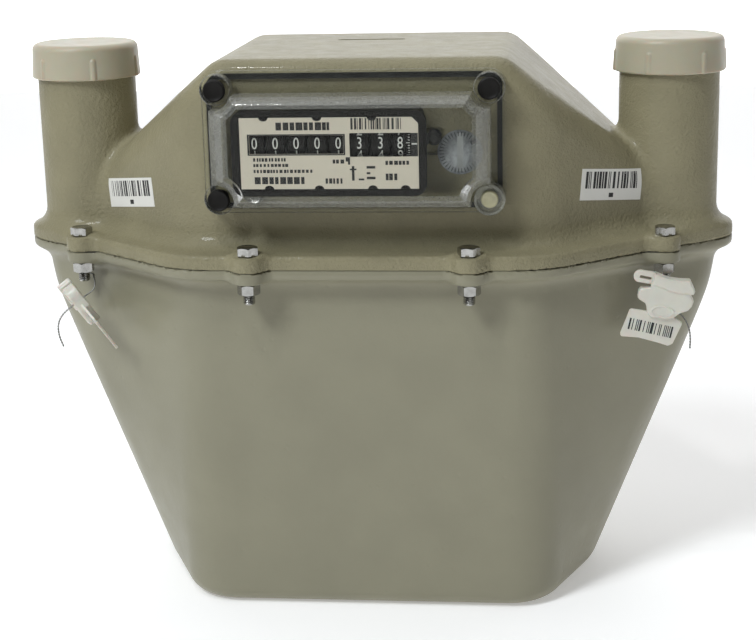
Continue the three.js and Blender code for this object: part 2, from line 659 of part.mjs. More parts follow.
function measuringFrame() {
  const web = 3;
  let frame = through(chamberOutline(0), -CHAMBER_DEPTH, CHAMBER_DEPTH);
  frame = frame.subtract(through(chamberOutline(5), -CHAMBER_DEPTH - 1, -web));
  frame = frame.subtract(through(chamberOutline(5), web, CHAMBER_DEPTH + 1));
  frame = frame.add(upright(hexagonPlan(56, 60, 118, 14, 12, 4), TABLE_BOTTOM_Z - 1, TABLE_TOP_Z));
  for (const x of [-40, 40]) {
    for (const y of [-30, 30]) {
      frame = frame.add(block(x - 8, x + 8, y - 6, y + 6, LOWER_WALL + GAP, CHAMBER_FLOOR_Z + 2));
    }
  }
  // Bracket that carries the upper end of the crank and the drive shaft.
  const { x0, x1, frontY, backY, sheet, shelfZ, topZ } = BRACKET;
  frame = frame.add(block(x0, x1, frontY, frontY + sheet, TABLE_TOP_Z - 1, topZ));
  frame = frame.add(block(x0, x1, frontY, backY, shelfZ, shelfZ + sheet));
  frame = frame.subtract(rodY(CRANK_X, WHEEL_Z, frontY - 2, frontY + sheet + 2, 2.3, 16));
  frame = frame.add(rodZ(CRANK_X, 0, TABLE_TOP_Z - 1, TABLE_TOP_Z + 3, 7, 20));
  frame = frame.subtract(rodZ(CRANK_X, 0, TABLE_TOP_Z - 4, shelfZ + 5, 2.8, 16));
  for (const side of [-1, 1]) {
    const [x, y] = [FLAG_ROD_X, side * FLAG_ROD_Y];
    frame = frame.subtract(rodZ(x, y, CHAMBER_FLOOR_Z + 2.5, TABLE_TOP_Z + 1, 2.8, 16));
    // Valve grid: three shallow ports under each slide valve.
    for (const offset of [-8, 0, 8]) {
      const port = new THREE.BoxGeometry(4.5, 18, 6);
      port.rotateZ((side * Math.PI) / 4);
      const reach = (VALVE_DISTANCE + offset) * Math.SQRT1_2;
      port.translate(CRANK_X + reach, side * reach, TABLE_TOP_Z);
      frame = frame.subtract(solid(port));
    }
  }
  // Outlet port under the duct.
  return frame.subtract(rodZ(92, 0, TABLE_BOTTOM_Z + 1, TABLE_TOP_Z + 1, 6.4, 20));
}

addPiece('measuring_frame', measuringFrame(), greyPlastic);

function chamberCover(side) {
  const [near, far] = [CHAMBER_DEPTH + GAP, CHAMBER_DEPTH + 3];
  const sheet = side < 0 ? through(chamberOutline(1), -far, -near) : through(chamberOutline(1), near, far);
  const dishY = side < 0 ? [-near - 1, -near + 1] : [near - 1, near + 1];
  return sheet.subtract(through(chamberOutline(10), dishY[0], dishY[1]));
}

addPiece('front_chamber_cover', chamberCover(-1), greyPlastic);
addPiece('rear_chamber_cover', chamberCover(1), greyPlastic);

// Diaphragm: a stiff middle plate carried by a folded cloth rim.
function diaphragm(side) {
  const [inner, outer] = [26, 30];
  const span = (a, b) => (side < 0 ? [-b, -a] : [a, b]);
  const sheet = through(chamberOutline(8), ...span(inner, outer));
  const fold = through(chamberOutline(13), ...span(inner - 1, inner + 1.2));
  const raised = through(chamberOutline(19), ...span(inner, outer));
  return sheet.subtract(fold).add(raised);
}

addPiece('front_diaphragm', diaphragm(-1), diaphragmCloth);
addPiece('rear_diaphragm', diaphragm(1), diaphragmCloth);

// Flag rod: upright rod, the flag that follows the diaphragm, and the arm above the table.
function flagRod(side) {
  const [x, y] = [FLAG_ROD_X, side * FLAG_ROD_Y];
  const rod = rodZ(x, y, CHAMBER_FLOOR_Z + 3, ARM_BOTTOM_Z + 3, 2.4, 16);
  const flag = new THREE.BoxGeometry(FLAG_LENGTH, 1.6, 34);
  flag.translate(FLAG_LENGTH / 2, 0, 0);
  flag.rotateZ(side * THREE.MathUtils.degToRad(FLAG_REST_DEG));
  flag.translate(x, y, 76);
  const arm = new THREE.BoxGeometry(ARM_REACH * Math.SQRT2, 6, 3);
  arm.translate((ARM_REACH * Math.SQRT2) / 2, 0, 0);
  arm.rotateZ((side * Math.PI) / 4);
  arm.translate(x, y, ARM_BOTTOM_Z + 1.5);
  const [tipX, tipY] = [x + ARM_REACH, y + side * ARM_REACH];
  const linkZ = side < 0 ? LINK_BOTTOM_Z : LINK_BOTTOM_Z + 3;
  const boss = rodZ(tipX, tipY, ARM_BOTTOM_Z, linkZ - GAP, 4, 16);
  const pivot = rodZ(tipX, tipY, ARM_BOTTOM_Z, linkZ + 2.5, 1.9, 14);
  const eye = rodZ(x, y, ARM_BOTTOM_Z, ARM_BOTTOM_Z + 3, 5, 16);
  return join(rod, solid(flag), solid(arm), boss, pivot, eye);
}

addPiece('front_flag_rod', flagRod(-1), zinc);
addPiece('rear_flag_rod', flagRod(1), zinc);

// Link from a flag arm towards the crank pin; its far eye clears the top of the pin.
const LINK_WIDTH = 4;
const LINK_THICKNESS = 2.4;

function crankLink(side) {
  const tip = new THREE.Vector2(FLAG_ROD_X + ARM_REACH, side * (FLAG_ROD_Y + ARM_REACH));
  const pin = new THREE.Vector2(CRANK_X - CRANK_PIN_THROW, 0);
  const z0 = side < 0 ? LINK_BOTTOM_Z : LINK_BOTTOM_Z + 3;
  const along = pin.clone().sub(tip);
  const strip = new THREE.BoxGeometry(along.length(), LINK_WIDTH, LINK_THICKNESS);
  strip.rotateZ(along.angle());
  strip.translate((tip.x + pin.x) / 2, (tip.y + pin.y) / 2, z0 + LINK_THICKNESS / 2);
  const ends = [tip, pin].map((p) => rodZ(p.x, p.y, z0, z0 + LINK_THICKNESS, 4.2, 18));
  const holes = [tip, pin].map((p) => rodZ(p.x, p.y, z0 - 1, z0 + LINK_THICKNESS + 1, 2.3, 14));
  return cut(join(solid(strip), ...ends), ...holes);
}

addPiece('front_crank_link', crankLink(-1), zinc);
addPiece('rear_crank_link', crankLink(1), zinc);

// Crank: upright shaft, web and pin, with the drive pinion on top.
function crankShaft() {
  const shaft = rodZ(CRANK_X, 0, TABLE_TOP_Z - 3, 183.4, 2.4, 16);
  const web = block(CRANK_X - CRANK_PIN_THROW - 3, CRANK_X + 4, -3.5, 3.5, 148, 151);
  const hub = rodZ(CRANK_X, 0, TABLE_TOP_Z + 3 + GAP, 151, 4.5, 16);
  const pin = rodZ(CRANK_X - CRANK_PIN_THROW, 0, 148, LINK_BOTTOM_Z - 0.5, 1.9, 14);
  const phase = -Math.PI / 2 + Math.PI / DRIVE_PINION_TEETH;
  const teeth = gearPoints(DRIVE_PINION_TEETH, 2.9, 5, 1, phase).map((p) => p.add(new THREE.Vector2(CRANK_X, 0)));
  return join(shaft, web, hub, pin, upright(teeth, 177, 182.6));
}

addPiece('crank_shaft', crankShaft(), zinc);

// Slide valve: hollow block with a short driving rod pointing to the crank.
const VALVE_BODY = { length: 30, width: 24, height: 8 };
const VALVE_HOLLOW = { length: 20, width: 18 };
const VALVE_ROD = { length: 16, side: 3, centreX: 24 };

function slideValve(side) {
  const z0 = TABLE_TOP_Z + GAP;
  const body = new THREE.BoxGeometry(VALVE_BODY.length, VALVE_BODY.width, VALVE_BODY.height);
  body.translate(VALVE_DISTANCE, 0, z0 + VALVE_BODY.height / 2);
  const hollow = new THREE.BoxGeometry(VALVE_HOLLOW.length, VALVE_HOLLOW.width, VALVE_BODY.height + 2);
  hollow.translate(VALVE_DISTANCE, 0, z0);
  const rod = new THREE.BoxGeometry(VALVE_ROD.length, VALVE_ROD.side, VALVE_ROD.side);
  rod.translate(VALVE_ROD.centreX, 0, z0 + VALVE_BODY.height - 2);
  const parts = [body, hollow, rod].map((part) => {
    part.rotateZ((side * Math.PI) / 4);
    part.translate(CRANK_X, 0, 0);
    return solid(part);
  });
  return parts[0].add(parts[2]).subtract(parts[1]);
}

addPiece('front_slide_valve', slideValve(-1), greyPlastic);
addPiece('rear_slide_valve', slideValve(1), greyPlastic);

// Drive shaft to the counter: a contrate wheel over the crank pinion, and the cone at the front.
function indexDriveShaft() {
  const coneTipY = WHEEL_Y + 1.7;
  let shaft = rodY(CRANK_X, WHEEL_Z, coneTipY, -3, 2, 14);
  shaft = shaft.subtract(rodY(CRANK_X, WHEEL_Z, coneTipY - 1, coneTipY + 2, 6, 14));
  const cone = new THREE.CylinderGeometry(3, 1.5, 1.6, 20);
  cone.translate(CRANK_X, coneTipY + 0.8, WHEEL_Z);
  shaft = shaft.add(solid(cone)).add(rodY(CRANK_X, WHEEL_Z, coneTipY + 1, coneTipY + 4, 2, 14));
  shaft = shaft.add(rodY(CRANK_X, WHEEL_Z, -8.4, -6, CONTRATE_RADIUS + 2, 24));
  for (let i = 0; i < CONTRATE_TEETH; i += 1) {
    const tooth = new THREE.BoxGeometry(1, 3.6, 4);
    tooth.translate(0, -5.1, -CONTRATE_RADIUS);
    tooth.rotateY((2 * Math.PI * i) / CONTRATE_TEETH);
    tooth.translate(CRANK_X, 0, WHEEL_Z);
    shaft = shaft.add(solid(tooth));
  }
  return shaft;
}

addPiece('index_drive_shaft', indexDriveShaft(), aluminium);

// Duct from the measuring unit up into the outlet neck.
function outletDuct() {
  const route = [
    [92, 0, TABLE_TOP_Z + GAP], [92.6, 0, 146], [101, 0, 155], [115, 0, 160], [124, 0, 168], [PORT_X, 0, 178],
  ];
  const rings = [8.5, 6.4].map((radius) => bar(route, radius, 8, 10));
  const bottom = rodZ(92, 0, TABLE_TOP_Z - 3, TABLE_TOP_Z + 4, 6.4, 16);
  const top = rodZ(PORT_X, 0, 174, 182, 6.4, 16);
  return cut(rings[0], rings[1], bottom, top).trimByPlane([0, 0, 1], TABLE_TOP_Z + GAP);
}

addPiece('outlet_duct', outletDuct(), aluminium);

// ---------- wire seals ----------

// Seal in its own frame: X width, Y thickness, Z height, with the flat tag below.
const SEAL_THICKNESS = 6;

function sealBody() {
  const half = SEAL_THICKNESS / 2;
  const body = through(roundedRectangle({ x0: -9.5, x1: 10.5, z0: -9, z1: 7 }, 3.5), -half, half);
  const tag = through(roundedRectangle({ x0: -13.5, x1: 8, z0: -22.5, z1: -8 }, 0.8), -0.6, 0.6);
  const rotorBore = rodZ(-5.4, 0, -5, 9, 2.3, 16);
  const wireHole = rodY(1, 0, -half - 1, half + 1, 1.1, 12);
  return cut(body.add(tag), rotorBore, wireHole);
}

function sealRotor() {
  const core = rodZ(-5.4, 0, -4.4, 8, 1.9, 14);
  const wing = through(roundedRectangle({ x0: -11, x1: -1.5, z0: 7.4, z1: 12.6 }, 2), -1, 1);
  const slot = through(roundedRectangle({ x0: -9, x1: -3.5, z0: 9.2, z1: 10.8 }, 0.7), -2, 2);
  return core.add(wing).subtract(slot);
}

// The left seal hangs edge-on to the front, leaning outwards.
const leftSealAcross = new THREE.Vector3(-0.2286, -0.6518, 0.7235).normalize();
const leftSealThrough = new THREE.Vector3(-0.6237, 0.6681, 0.4045).cross(leftSealAcross).normalize();
const leftSealUp = new THREE.Vector3().crossVectors(leftSealAcross, leftSealThrough);
const leftSealPlace = new THREE.Matrix4().makeBasis(leftSealAcross, leftSealThrough, leftSealUp);
leftSealPlace.setPosition(-121.97, -45.25, 128.98);
const rightSealPlace = new THREE.Matrix4().makeRotationY(THREE.MathUtils.degToRad(12.5));
rightSealPlace.setPosition(123, -46.2, 133);

addPiece('left_seal_body', sealBody(), sealPlastic, leftSealPlace);
addPiece('left_seal_rotor', sealRotor(), sealPlastic, leftSealPlace);
addPiece('right_seal_body', sealBody(), sealPlastic, rightSealPlace);
addPiece('right_seal_rotor', sealRotor(), sealPlastic, rightSealPlace);

// Stiff wires: round the threaded end of the outer bolt, through or behind the seal, free tail.
const SEAL_WIRE_RADIUS = 0.4;

const LEFT_WIRE_ROUTE = [
  [-125.2, -32, 138.4], [-122.3, -30.6, 138.3], [-119, -32.3, 138.2], [-117.6, -36.5, 137.8],
  [-116, -41, 136.6], [-116, -43.6, 134.4], [-119.2, -44.5, 131.9], [-122.2, -45.9, 129.7],
  [-125.2, -47.3, 127.5], [-129.4, -47.6, 123.6], [-131.4, -47, 119.4], [-131.4, -46.6, 114.6],
  [-130, -46.2, 109.8],
];

const RIGHT_WIRE_ROUTE = [
  [125.2, -32, 138.4], [122.3, -30.6, 138.3], [119, -32.3, 138.2], [117.8, -35.6, 137.4],
  [118.8, -38.6, 135.4], [121, -40.6, 132], [123.8, -41.4, 128.6], [127, -41.8, 125.6],
  [130.2, -42.4, 122.4], [132.2, -43, 118.4], [132.9, -43.4, 114], [132.8, -43.6, 109.8],
];

addPiece('left_seal_wire', bar(LEFT_WIRE_ROUTE, SEAL_WIRE_RADIUS, 20), steelWire);
addPiece('right_seal_wire', bar(RIGHT_WIRE_ROUTE, SEAL_WIRE_RADIUS, 20), steelWire);

export default meter;
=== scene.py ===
"""Visual model of a diaphragm gas meter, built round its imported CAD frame.

Shapes are worked out in millimetres and become metres when a mesh is made.
"""

import json
import math
import random

import bmesh
import bpy
import numpy as np
import openvdb
from mathutils import Matrix, Vector


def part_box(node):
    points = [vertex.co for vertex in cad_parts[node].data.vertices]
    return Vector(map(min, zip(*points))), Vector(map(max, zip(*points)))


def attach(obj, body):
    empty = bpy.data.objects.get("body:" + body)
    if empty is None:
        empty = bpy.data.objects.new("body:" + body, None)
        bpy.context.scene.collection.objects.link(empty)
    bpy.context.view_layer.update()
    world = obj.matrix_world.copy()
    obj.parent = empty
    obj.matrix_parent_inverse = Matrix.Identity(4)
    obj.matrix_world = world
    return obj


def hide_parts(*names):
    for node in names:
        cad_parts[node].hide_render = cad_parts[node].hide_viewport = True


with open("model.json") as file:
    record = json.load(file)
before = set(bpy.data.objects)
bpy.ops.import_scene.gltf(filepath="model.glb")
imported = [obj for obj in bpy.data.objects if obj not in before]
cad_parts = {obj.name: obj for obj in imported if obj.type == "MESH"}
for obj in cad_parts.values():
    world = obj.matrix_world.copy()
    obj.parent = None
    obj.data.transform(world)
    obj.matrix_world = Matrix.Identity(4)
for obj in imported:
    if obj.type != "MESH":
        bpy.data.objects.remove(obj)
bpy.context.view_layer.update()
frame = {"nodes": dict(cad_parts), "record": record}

MM = 0.001
ROOT = "meter_body"


def box_mm(node):
    """Lowest and highest corner of a CAD node, in millimetres."""
    low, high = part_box(node)
    return low / MM, high / MM


# ---------- driving dimensions, the same as the CAD model's ----------

PORT_X = 125
NECK_RADIUS = 20.9
NECK_TOP_Z = 231
NECK_STEP_Z = 221
NECK_THREAD_CORE = 19.2
BORE_RADIUS = 15.5
UPPER_FLOOR_Z = 149.55
LOWER_TOP_Z = 149.3
PARTING_Z = 149.4
FLANGE_TOP_Z = 155.2
FLANGE_BOTTOM_Z = 145
BOSS_TOP_Z = 155.5
BOSS_BOTTOM_Z = 144.4
FLANGE_EDGE_RADIUS = 1.8
UPPER_WALL = 4
LOWER_WALL = 3
SHOULDER_X = 58
SHOULDER_FALL = 0.839
LOWER_BOTTOM_HALF_DEPTH = 61.5
LOWER_TOP_HALF_DEPTH = 66
LOWER_SIDE_LEAN = 0.394
LOWER_RIM_LEAN = 0.12
FRONT_WALL_Y = -58
# Six-sided plans: half depth, corner x, apex x, corner radius, apex radius.
FLANGE_PLAN = (74.3, 72.6, 161.42, 40, 15.3)
WALL_PLAN = (-FRONT_WALL_Y, 70.3, 139.7, 34, 12)
BOLTS = [(sx * x, sy * y) for sy in (-1, 1) for x, y in ((44, 74.5), (122.3, 34.3)) for sx in (-1, 1)]
BOSS_RADIUS = 6.5
BOLT_HOLE_RADIUS = 2.8
COVER_SCREWS = [(x, z) for z in (177, 220.5) for x in (-55.6, 52)]
WHEEL_X = [-39.5 + 8.26 * i for i in range(8)]
WHEEL_Y = -65.8
WHEEL_Z = 200.4
PINION_ROW_Z = 188.9
WHEEL_RADIUS = 8.4
WHEEL_WIDTH = 7.2
# Hollows in the front wall, as lowest and highest corner.
WHEEL_POCKET = ((-46, -60, 190), (25.5, -56.5, 210.5))
DRIVE_SLOT = ((26.8, -60, 193), (33.3, -55.4, 203.6))
# Plain groove across the flat top.
TOP_GROOVE = ((-17, 20.8, NECK_TOP_Z - 1.3), (12, 23.8, NECK_TOP_Z + 2))


# ---------- camera ----------

def add_camera():
    azimuth, elevation, roll = (math.radians(a) for a in (6.07, 14.74, 1.315))
    back = Vector((
        math.sin(azimuth) * math.cos(elevation),
        -math.cos(azimuth) * math.cos(elevation),
        math.sin(elevation),
    ))
    right = Vector((math.cos(azimuth), math.sin(azimuth), 0))
    up = back.cross(right)
    side = right * math.cos(roll) - up * math.sin(roll)
    top = right * math.sin(roll) + up * math.cos(roll)
    data = bpy.data.cameras.new("camera")
    data.sensor_width = 36
    data.lens = 81.77
    camera = bpy.data.objects.new("camera", data)
    camera.matrix_world = Matrix((side, top, back)).transposed().to_4x4()
    camera.location = Vector((77.47, -731.84, 303.39)) * MM
    bpy.context.scene.collection.objects.link(camera)
    bpy.context.scene.camera = camera


add_camera()


# ---------- mesh tools ----------

def make_mesh(name, points, faces):
    """A mesh in metres from points in millimetres, its faces turned outwards."""
    mesh = bpy.data.meshes.new(name)
    mesh.from_pydata((np.asarray(points, float) * MM).tolist(), [], faces)
    solid = bmesh.new()
    solid.from_mesh(mesh)
    bmesh.ops.recalc_face_normals(solid, faces=solid.faces)
    solid.to_mesh(mesh)
    solid.free()
    return mesh


def piece(name, mesh, paint, body=ROOT, replaces=(), sharp=32):
    """Shows a mesh as one piece of the meter that moves with a body."""
    obj = bpy.data.objects.new(name, mesh)
    bpy.context.scene.collection.objects.link(obj)
    paints = paint if isinstance(paint, (list, tuple)) else [paint]
    if not mesh.materials:
        for each in paints:
            mesh.materials.append(each)
    mesh.shade_smooth()
    mesh.set_sharp_from_angle(angle=math.radians(sharp))
    if replaces:
        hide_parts(*replaces)
    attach(obj, body)
    return obj


def lofted(rings, closed=False):
    """Points and faces of a skin over rings of equal point count; open ends get a face each."""
    count = len(rings[0])
    points = [p for ring in rings for p in ring]
    faces = []
    pairs = len(rings) if closed else len(rings) - 1
    for level in range(pairs):
        low, high = level * count, (level + 1) % len(rings) * count
        for i in range(count):
            j = (i + 1) % count
            faces.append((low + i, low + j, high + j, high + i))
    if not closed:
        faces.append(tuple(range(count))[::-1])
        faces.append(tuple((len(rings) - 1) * count + i for i in range(count)))
    return points, faces


def turned(profile, axis, centre, steps=48, closed=False):
    """Points and faces of a profile of (radius, height) turned round an axis through centre."""
    rings = []
    for radius, height in profile:
        ring = []
        for i in range(steps):
            angle = 2 * math.pi * i / steps
            u, v = radius * math.cos(angle), radius * math.sin(angle)
            local = {"x": (height, u, v), "y": (v, height, u), "z": (u, v, height)}[axis]
            ring.append([c + d for c, d in zip(centre, local)])
        rings.append(ring)
    return lofted(rings, closed)


def merged(*parts):
    """Several (points, faces) pairs as one."""
    points, faces = [], []
    for more_points, more_faces in parts:
        start = len(points)
        points += list(more_points)
        faces += [tuple(start + i for i in face) for face in more_faces]
    return points, faces


def rounded_box(x0, x1, z0, z1, radius, steps=8):
    """Outline of a rectangle with round corners, as (x, z) points."""
    outline = []
    for cx, cz, start in ((x1, z1, 0), (x0, z1, 90), (x0, z0, 180), (x1, z0, 270)):
        mx = cx - math.copysign(radius, cx - (x0 + x1) / 2)
        mz = cz - math.copysign(radius, cz - (z0 + z1) / 2)
        for i in range(steps + 1):
            angle = math.radians(start + 90 * i / steps)
            outline.append((mx + radius * math.cos(angle), mz + radius * math.sin(angle)))
    return outline


def inset(outline, amount):
    """The outline moved inwards, corner by corner."""
    points = np.asarray(outline, float)
    following = np.roll(points, -1, 0)
    before, after = points - np.roll(points, 1, 0), following - points
    area = np.sum(points[:, 0] * following[:, 1] - following[:, 0] * points[:, 1])
    turn = 1 if area > 0 else -1
    normals = []
    for edge in (before, after):
        length = np.maximum(np.linalg.norm(edge, axis=1, keepdims=True), 1e-9)
        normals.append(turn * np.stack([-edge[:, 1], edge[:, 0]], 1) / length)
    middle = normals[0] + normals[1]
    scale = amount / np.maximum((middle * normals[0]).sum(1, keepdims=True), 0.3)
    return (points + middle * scale).tolist()


def plate(outer, holes, y0, y1):
    """A flat sheet between y0 and y1 with an (x, z) outline and holes, as a closed mesh."""
    sheet = bmesh.new()
    edges = []
    for loop in (outer, *holes):
        verts = [sheet.verts.new((x * MM, y0 * MM, z * MM)) for x, z in loop]
        edges += [sheet.edges.new((a, b)) for a, b in zip(verts, verts[1:] + verts[:1])]
    bmesh.ops.triangle_fill(sheet, use_beauty=True, use_dissolve=True, edges=edges)
    grown = bmesh.ops.extrude_face_region(sheet, geom=list(sheet.faces))
    moved = [g for g in grown["geom"] if isinstance(g, bmesh.types.BMVert)]
    bmesh.ops.translate(sheet, verts=moved, vec=(0, (y1 - y0) * MM, 0))
    bmesh.ops.recalc_face_normals(sheet, faces=sheet.faces)
    mesh = bpy.data.meshes.new("plate")
    sheet.to_mesh(mesh)
    sheet.free()
    return mesh


def combined(base, operation, *tools):
    """A mesh joined with or cut by others; all are closed."""
    for tool in tools:
        objects = [bpy.data.objects.new("joining", mesh) for mesh in (base, tool)]
        for obj in objects:
            bpy.context.scene.collection.objects.link(obj)
        modifier = objects[0].modifiers.new("join", "BOOLEAN")
        modifier.object = objects[1]
        modifier.operation = operation
        modifier.solver = "EXACT"
        evaluated = objects[0].evaluated_get(bpy.context.evaluated_depsgraph_get())
        base = bpy.data.meshes.new_from_object(evaluated)
        for obj in objects:
            bpy.data.objects.remove(obj)
    return base


def bevelled(mesh, width, angle=32, segments=2):
    """The mesh with its sharp edges rounded over."""
    obj = bpy.data.objects.new("bevelling", mesh)
    bpy.context.scene.collection.objects.link(obj)
    modifier = obj.modifiers.new("bevel", "BEVEL")
    modifier.width = width * MM
    modifier.segments = segments
    modifier.limit_method = "ANGLE"
    modifier.angle_limit = math.radians(angle)
    result = bpy.data.meshes.new_from_object(obj.evaluated_get(bpy.context.evaluated_depsgraph_get()))
    bpy.data.objects.remove(obj)
    return result


# ---------- cast shapes as distance fields ----------

def rounded_and(a, b, cosine, radius):
    """Where two half spaces meet, rounded over; cosine is of the angle between their normals."""
    a = a + radius
    b = b + radius
    corner = np.sqrt(np.maximum(a * a + b * b - 2 * a * b * cosine, 0) / (1 - cosine ** 2))
    on_corner = (a > b * cosine) & (b > a * cosine)
    return np.where(on_corner, corner, np.maximum(a, b)) - radius


def blend_or(a, b, radius):
    """Two bodies joined with a fillet."""
    u = np.maximum(radius - a, 0)
    v = np.maximum(radius - b, 0)
    return np.maximum(radius, np.minimum(a, b)) - np.sqrt(u * u + v * v)


def blend_and(a, b, radius):
    """What two bodies share, its edge rounded over."""
    return -blend_or(-a, -b, radius)


def hexagon(x, y, half_depth, corner_x, apex_x, corner_radius, apex_radius):
    """Distance to the six-sided plan of the casings, long in x, with round corners."""
    across, along = np.abs(y), np.abs(x)
    run = apex_x - corner_x
    length = np.hypot(half_depth, run)
    nx, ny = half_depth / length, run / length
    facet = nx * (along - apex_x) + ny * across
    mirror = nx * (along - apex_x) - ny * across
    side = rounded_and(across - half_depth, facet, ny, corner_radius)
    apex = rounded_and(facet, mirror, nx * nx - ny * ny, apex_radius)
    return np.maximum(side, apex)


def bolt_distance(x, y):
    """Distance in plan to the nearest flange bolt's axis."""
    return np.minimum.reduce([np.hypot(x - bx, y - by) for bx, by in BOLTS])


def brick(x, y, z, low, high):
    """Distance to an upright box."""
    sides = [np.maximum(lo - c, c - hi) for c, lo, hi in zip((x, y, z), low, high)]
    return np.maximum(np.maximum(sides[0], sides[1]), sides[2])


def cast_mesh(name, field, low, high, voxel, coarseness):
    """Mesh of a field's zero surface. Its points are then slid onto the exact surface."""
    axes = [np.arange(lo - 2 * voxel, hi + 2 * voxel, voxel) for lo, hi in zip(low, high)]
    values = field(*np.meshgrid(*axes, indexing="ij", sparse=True))
    values = np.broadcast_to(values, [len(a) for a in axes])
    reach = 3 * voxel
    grid = openvdb.FloatGrid(reach)
    grid.copyFromArray(np.ascontiguousarray(np.clip(values, -reach, reach), dtype=np.float32))
    points, triangles, quads = grid.convertToPolygons(0.0, coarseness)
    points = points * float(voxel) + np.array([a[0] for a in axes])
    nudge = 0.05
    for _ in range(2):
        value = field(*points.T)
        slopes = [field(*(points + nudge * e).T) - field(*(points - nudge * e).T) for e in np.eye(3)]
        slope = np.stack(slopes, 1) / (2 * nudge)
        step = (value / np.maximum((slope ** 2).sum(1), 0.2))[:, None] * slope
        length = np.maximum(np.linalg.norm(step, axis=1, keepdims=True), 1e-9)
        points = points - step * np.minimum(1, 0.6 * voxel / length)
    return make_mesh(name, points, triangles.tolist() + quads.tolist())


# ---------- materials ----------

def add_node(tree, kind, inputs, **settings):
    new = tree.nodes.new("ShaderNode" + kind)
    for key, value in settings.items():
        setattr(new, key, value)
    for key, value in inputs.items():
        if isinstance(value, bpy.types.NodeSocket):
            tree.links.new(value, new.inputs[key])
        else:
            new.inputs[key].default_value = value
    return new


def noise(tree, size, detail=2.0):
    """Noise whose spots are about size millimetres wide, fixed to the piece."""
    place = add_node(tree, "TexCoord", {}).outputs["Object"]
    inputs = {"Vector": place, "Scale": 1 / (size * MM), "Detail": detail}
    return add_node(tree, "TexNoise", inputs).outputs["Fac"]


def remap(tree, value, low, high, to_low, to_high):
    inputs = {"Value": value, "From Min": low, "From Max": high, "To Min": to_low, "To Max": to_high}
    return add_node(tree, "MapRange", inputs).outputs[0]


def mix_colour(tree, share, first, second):
    mixer = tree.nodes.new("ShaderNodeMix")
    mixer.data_type = "RGBA"
    for socket, value in ((mixer.inputs[0], share), (mixer.inputs[6], first), (mixer.inputs[7], second)):
        if isinstance(value, bpy.types.NodeSocket):
            tree.links.new(value, socket)
        else:
            socket.default_value = value if isinstance(value, float) else (*value, 1)
    return mixer.outputs[2]


def finish(name, colour, spread, spot, roughness, rough_spread, bumps, **sockets):
    """A Principled material: colour and roughness vary over spots, and bumps are (size, height, detail)."""
    paint = bpy.data.materials.new(name)
    paint.use_nodes = True
    tree = paint.node_tree
    shader = tree.nodes["Principled BSDF"]
    share = remap(tree, noise(tree, spot, 4.0), 0.35, 0.65, 0.0, 1.0)
    dark = tuple(c * (1 - spread) for c in colour)
    light = tuple(min(1, c * (1 + spread)) for c in colour)
    tree.links.new(mix_colour(tree, share, dark, light), shader.inputs["Base Color"])
    smooth_end, rough_end = roughness - rough_spread, roughness + rough_spread
    rough = remap(tree, noise(tree, spot * 0.4, 3.0), 0.3, 0.7, smooth_end, rough_end)
    tree.links.new(rough, shader.inputs["Roughness"])
    normal = None
    for size, height, detail in bumps:
        inputs = {"Height": noise(tree, size, detail), "Distance": height * MM, "Strength": 1.0}
        if normal:
            inputs["Normal"] = normal
        normal = add_node(tree, "Bump", inputs).outputs[0]
    if normal:
        tree.links.new(normal, shader.inputs["Normal"])
    for key, value in sockets.items():
        shader.inputs[key.replace("_", " ").title().replace("Ior", "IOR")].default_value = value
    return paint


def pitted(paint, size, height, share):
    """Adds sparse small pits under the paint's other bumps."""
    tree = paint.node_tree
    shader = tree.nodes["Principled BSDF"]
    place = add_node(tree, "TexCoord", {}).outputs["Object"]
    inputs = {"Vector": place, "Scale": 1 / (size * MM), "Randomness": 1.0}
    cells = add_node(tree, "TexVoronoi", inputs)
    hole = remap(tree, cells.outputs["Distance"], 0.0, 0.2, 0.0, 1.0)
    patch = remap(tree, noise(tree, size * 6, 2.0), share, share + 0.06, 0.0, 1.0)
    depth = add_node(tree, "Math", {0: 1.0, 1: hole}, operation="SUBTRACT").outputs[0]
    depth = add_node(tree, "Math", {0: depth, 1: patch}, operation="MULTIPLY").outputs[0]
    before = shader.inputs["Normal"].links[0].from_socket
    bump = {"Height": depth, "Distance": -height * MM, "Strength": 1.0, "Normal": before}
    tree.links.new(add_node(tree, "Bump", bump).outputs[0], shader.inputs["Normal"])


UPPER_PAINT = finish(
    "upper_enamel", (0.262, 0.238, 0.148), 0.05, 18, 0.45, 0.06,
    [(7, 0.26, 2.0), (1.5, 0.5, 2.5), (0.6, 0.22, 1.0)], coat_weight=0.16, coat_roughness=0.07,
    specular_ior_level=0.15)
LOWER_PAINT = finish(
    "lower_enamel", (0.262, 0.248, 0.174), 0.035, 30, 0.42, 0.05,
    [(9, 0.16, 2.0), (1.1, 0.05, 2.0)], coat_weight=0.15, coat_roughness=0.25, specular_ior_level=0.3)
pitted(LOWER_PAINT, 5.5, 0.12, 0.5)
RUBBER = finish("black_rubber", (0.02, 0.02, 0.018), 0.2, 6, 0.75, 0.08, [(0.8, 0.05, 2.0)])
CAP_PLASTIC = finish(
    "milky_plastic", (0.44, 0.405, 0.3), 0.02, 12, 0.38, 0.05, [(3, 0.05, 2.0), (0.6, 0.01, 1.0)],
    subsurface_weight=0.35, subsurface_scale=0.006)
BLACK_PLASTIC = finish(
    "black_plastic", (0.01, 0.009, 0.008), 0.15, 5, 0.5, 0.08, [(0.5, 0.02, 2.0)], specular_ior_level=0.16)
DIAL_PAPER = finish("dial_paper", (0.72, 0.655, 0.54), 0.02, 9, 0.45, 0.05, [(0.6, 0.01, 2.0)])
INK = finish("dial_ink", (0.012, 0.011, 0.01), 0.2, 2, 0.5, 0.05, [(0.4, 0.01, 1.0)])
DIGIT_PAINT = finish("digit_paint", (0.72, 0.72, 0.68), 0.05, 2, 0.5, 0.05, [(0.4, 0.01, 1.0)])
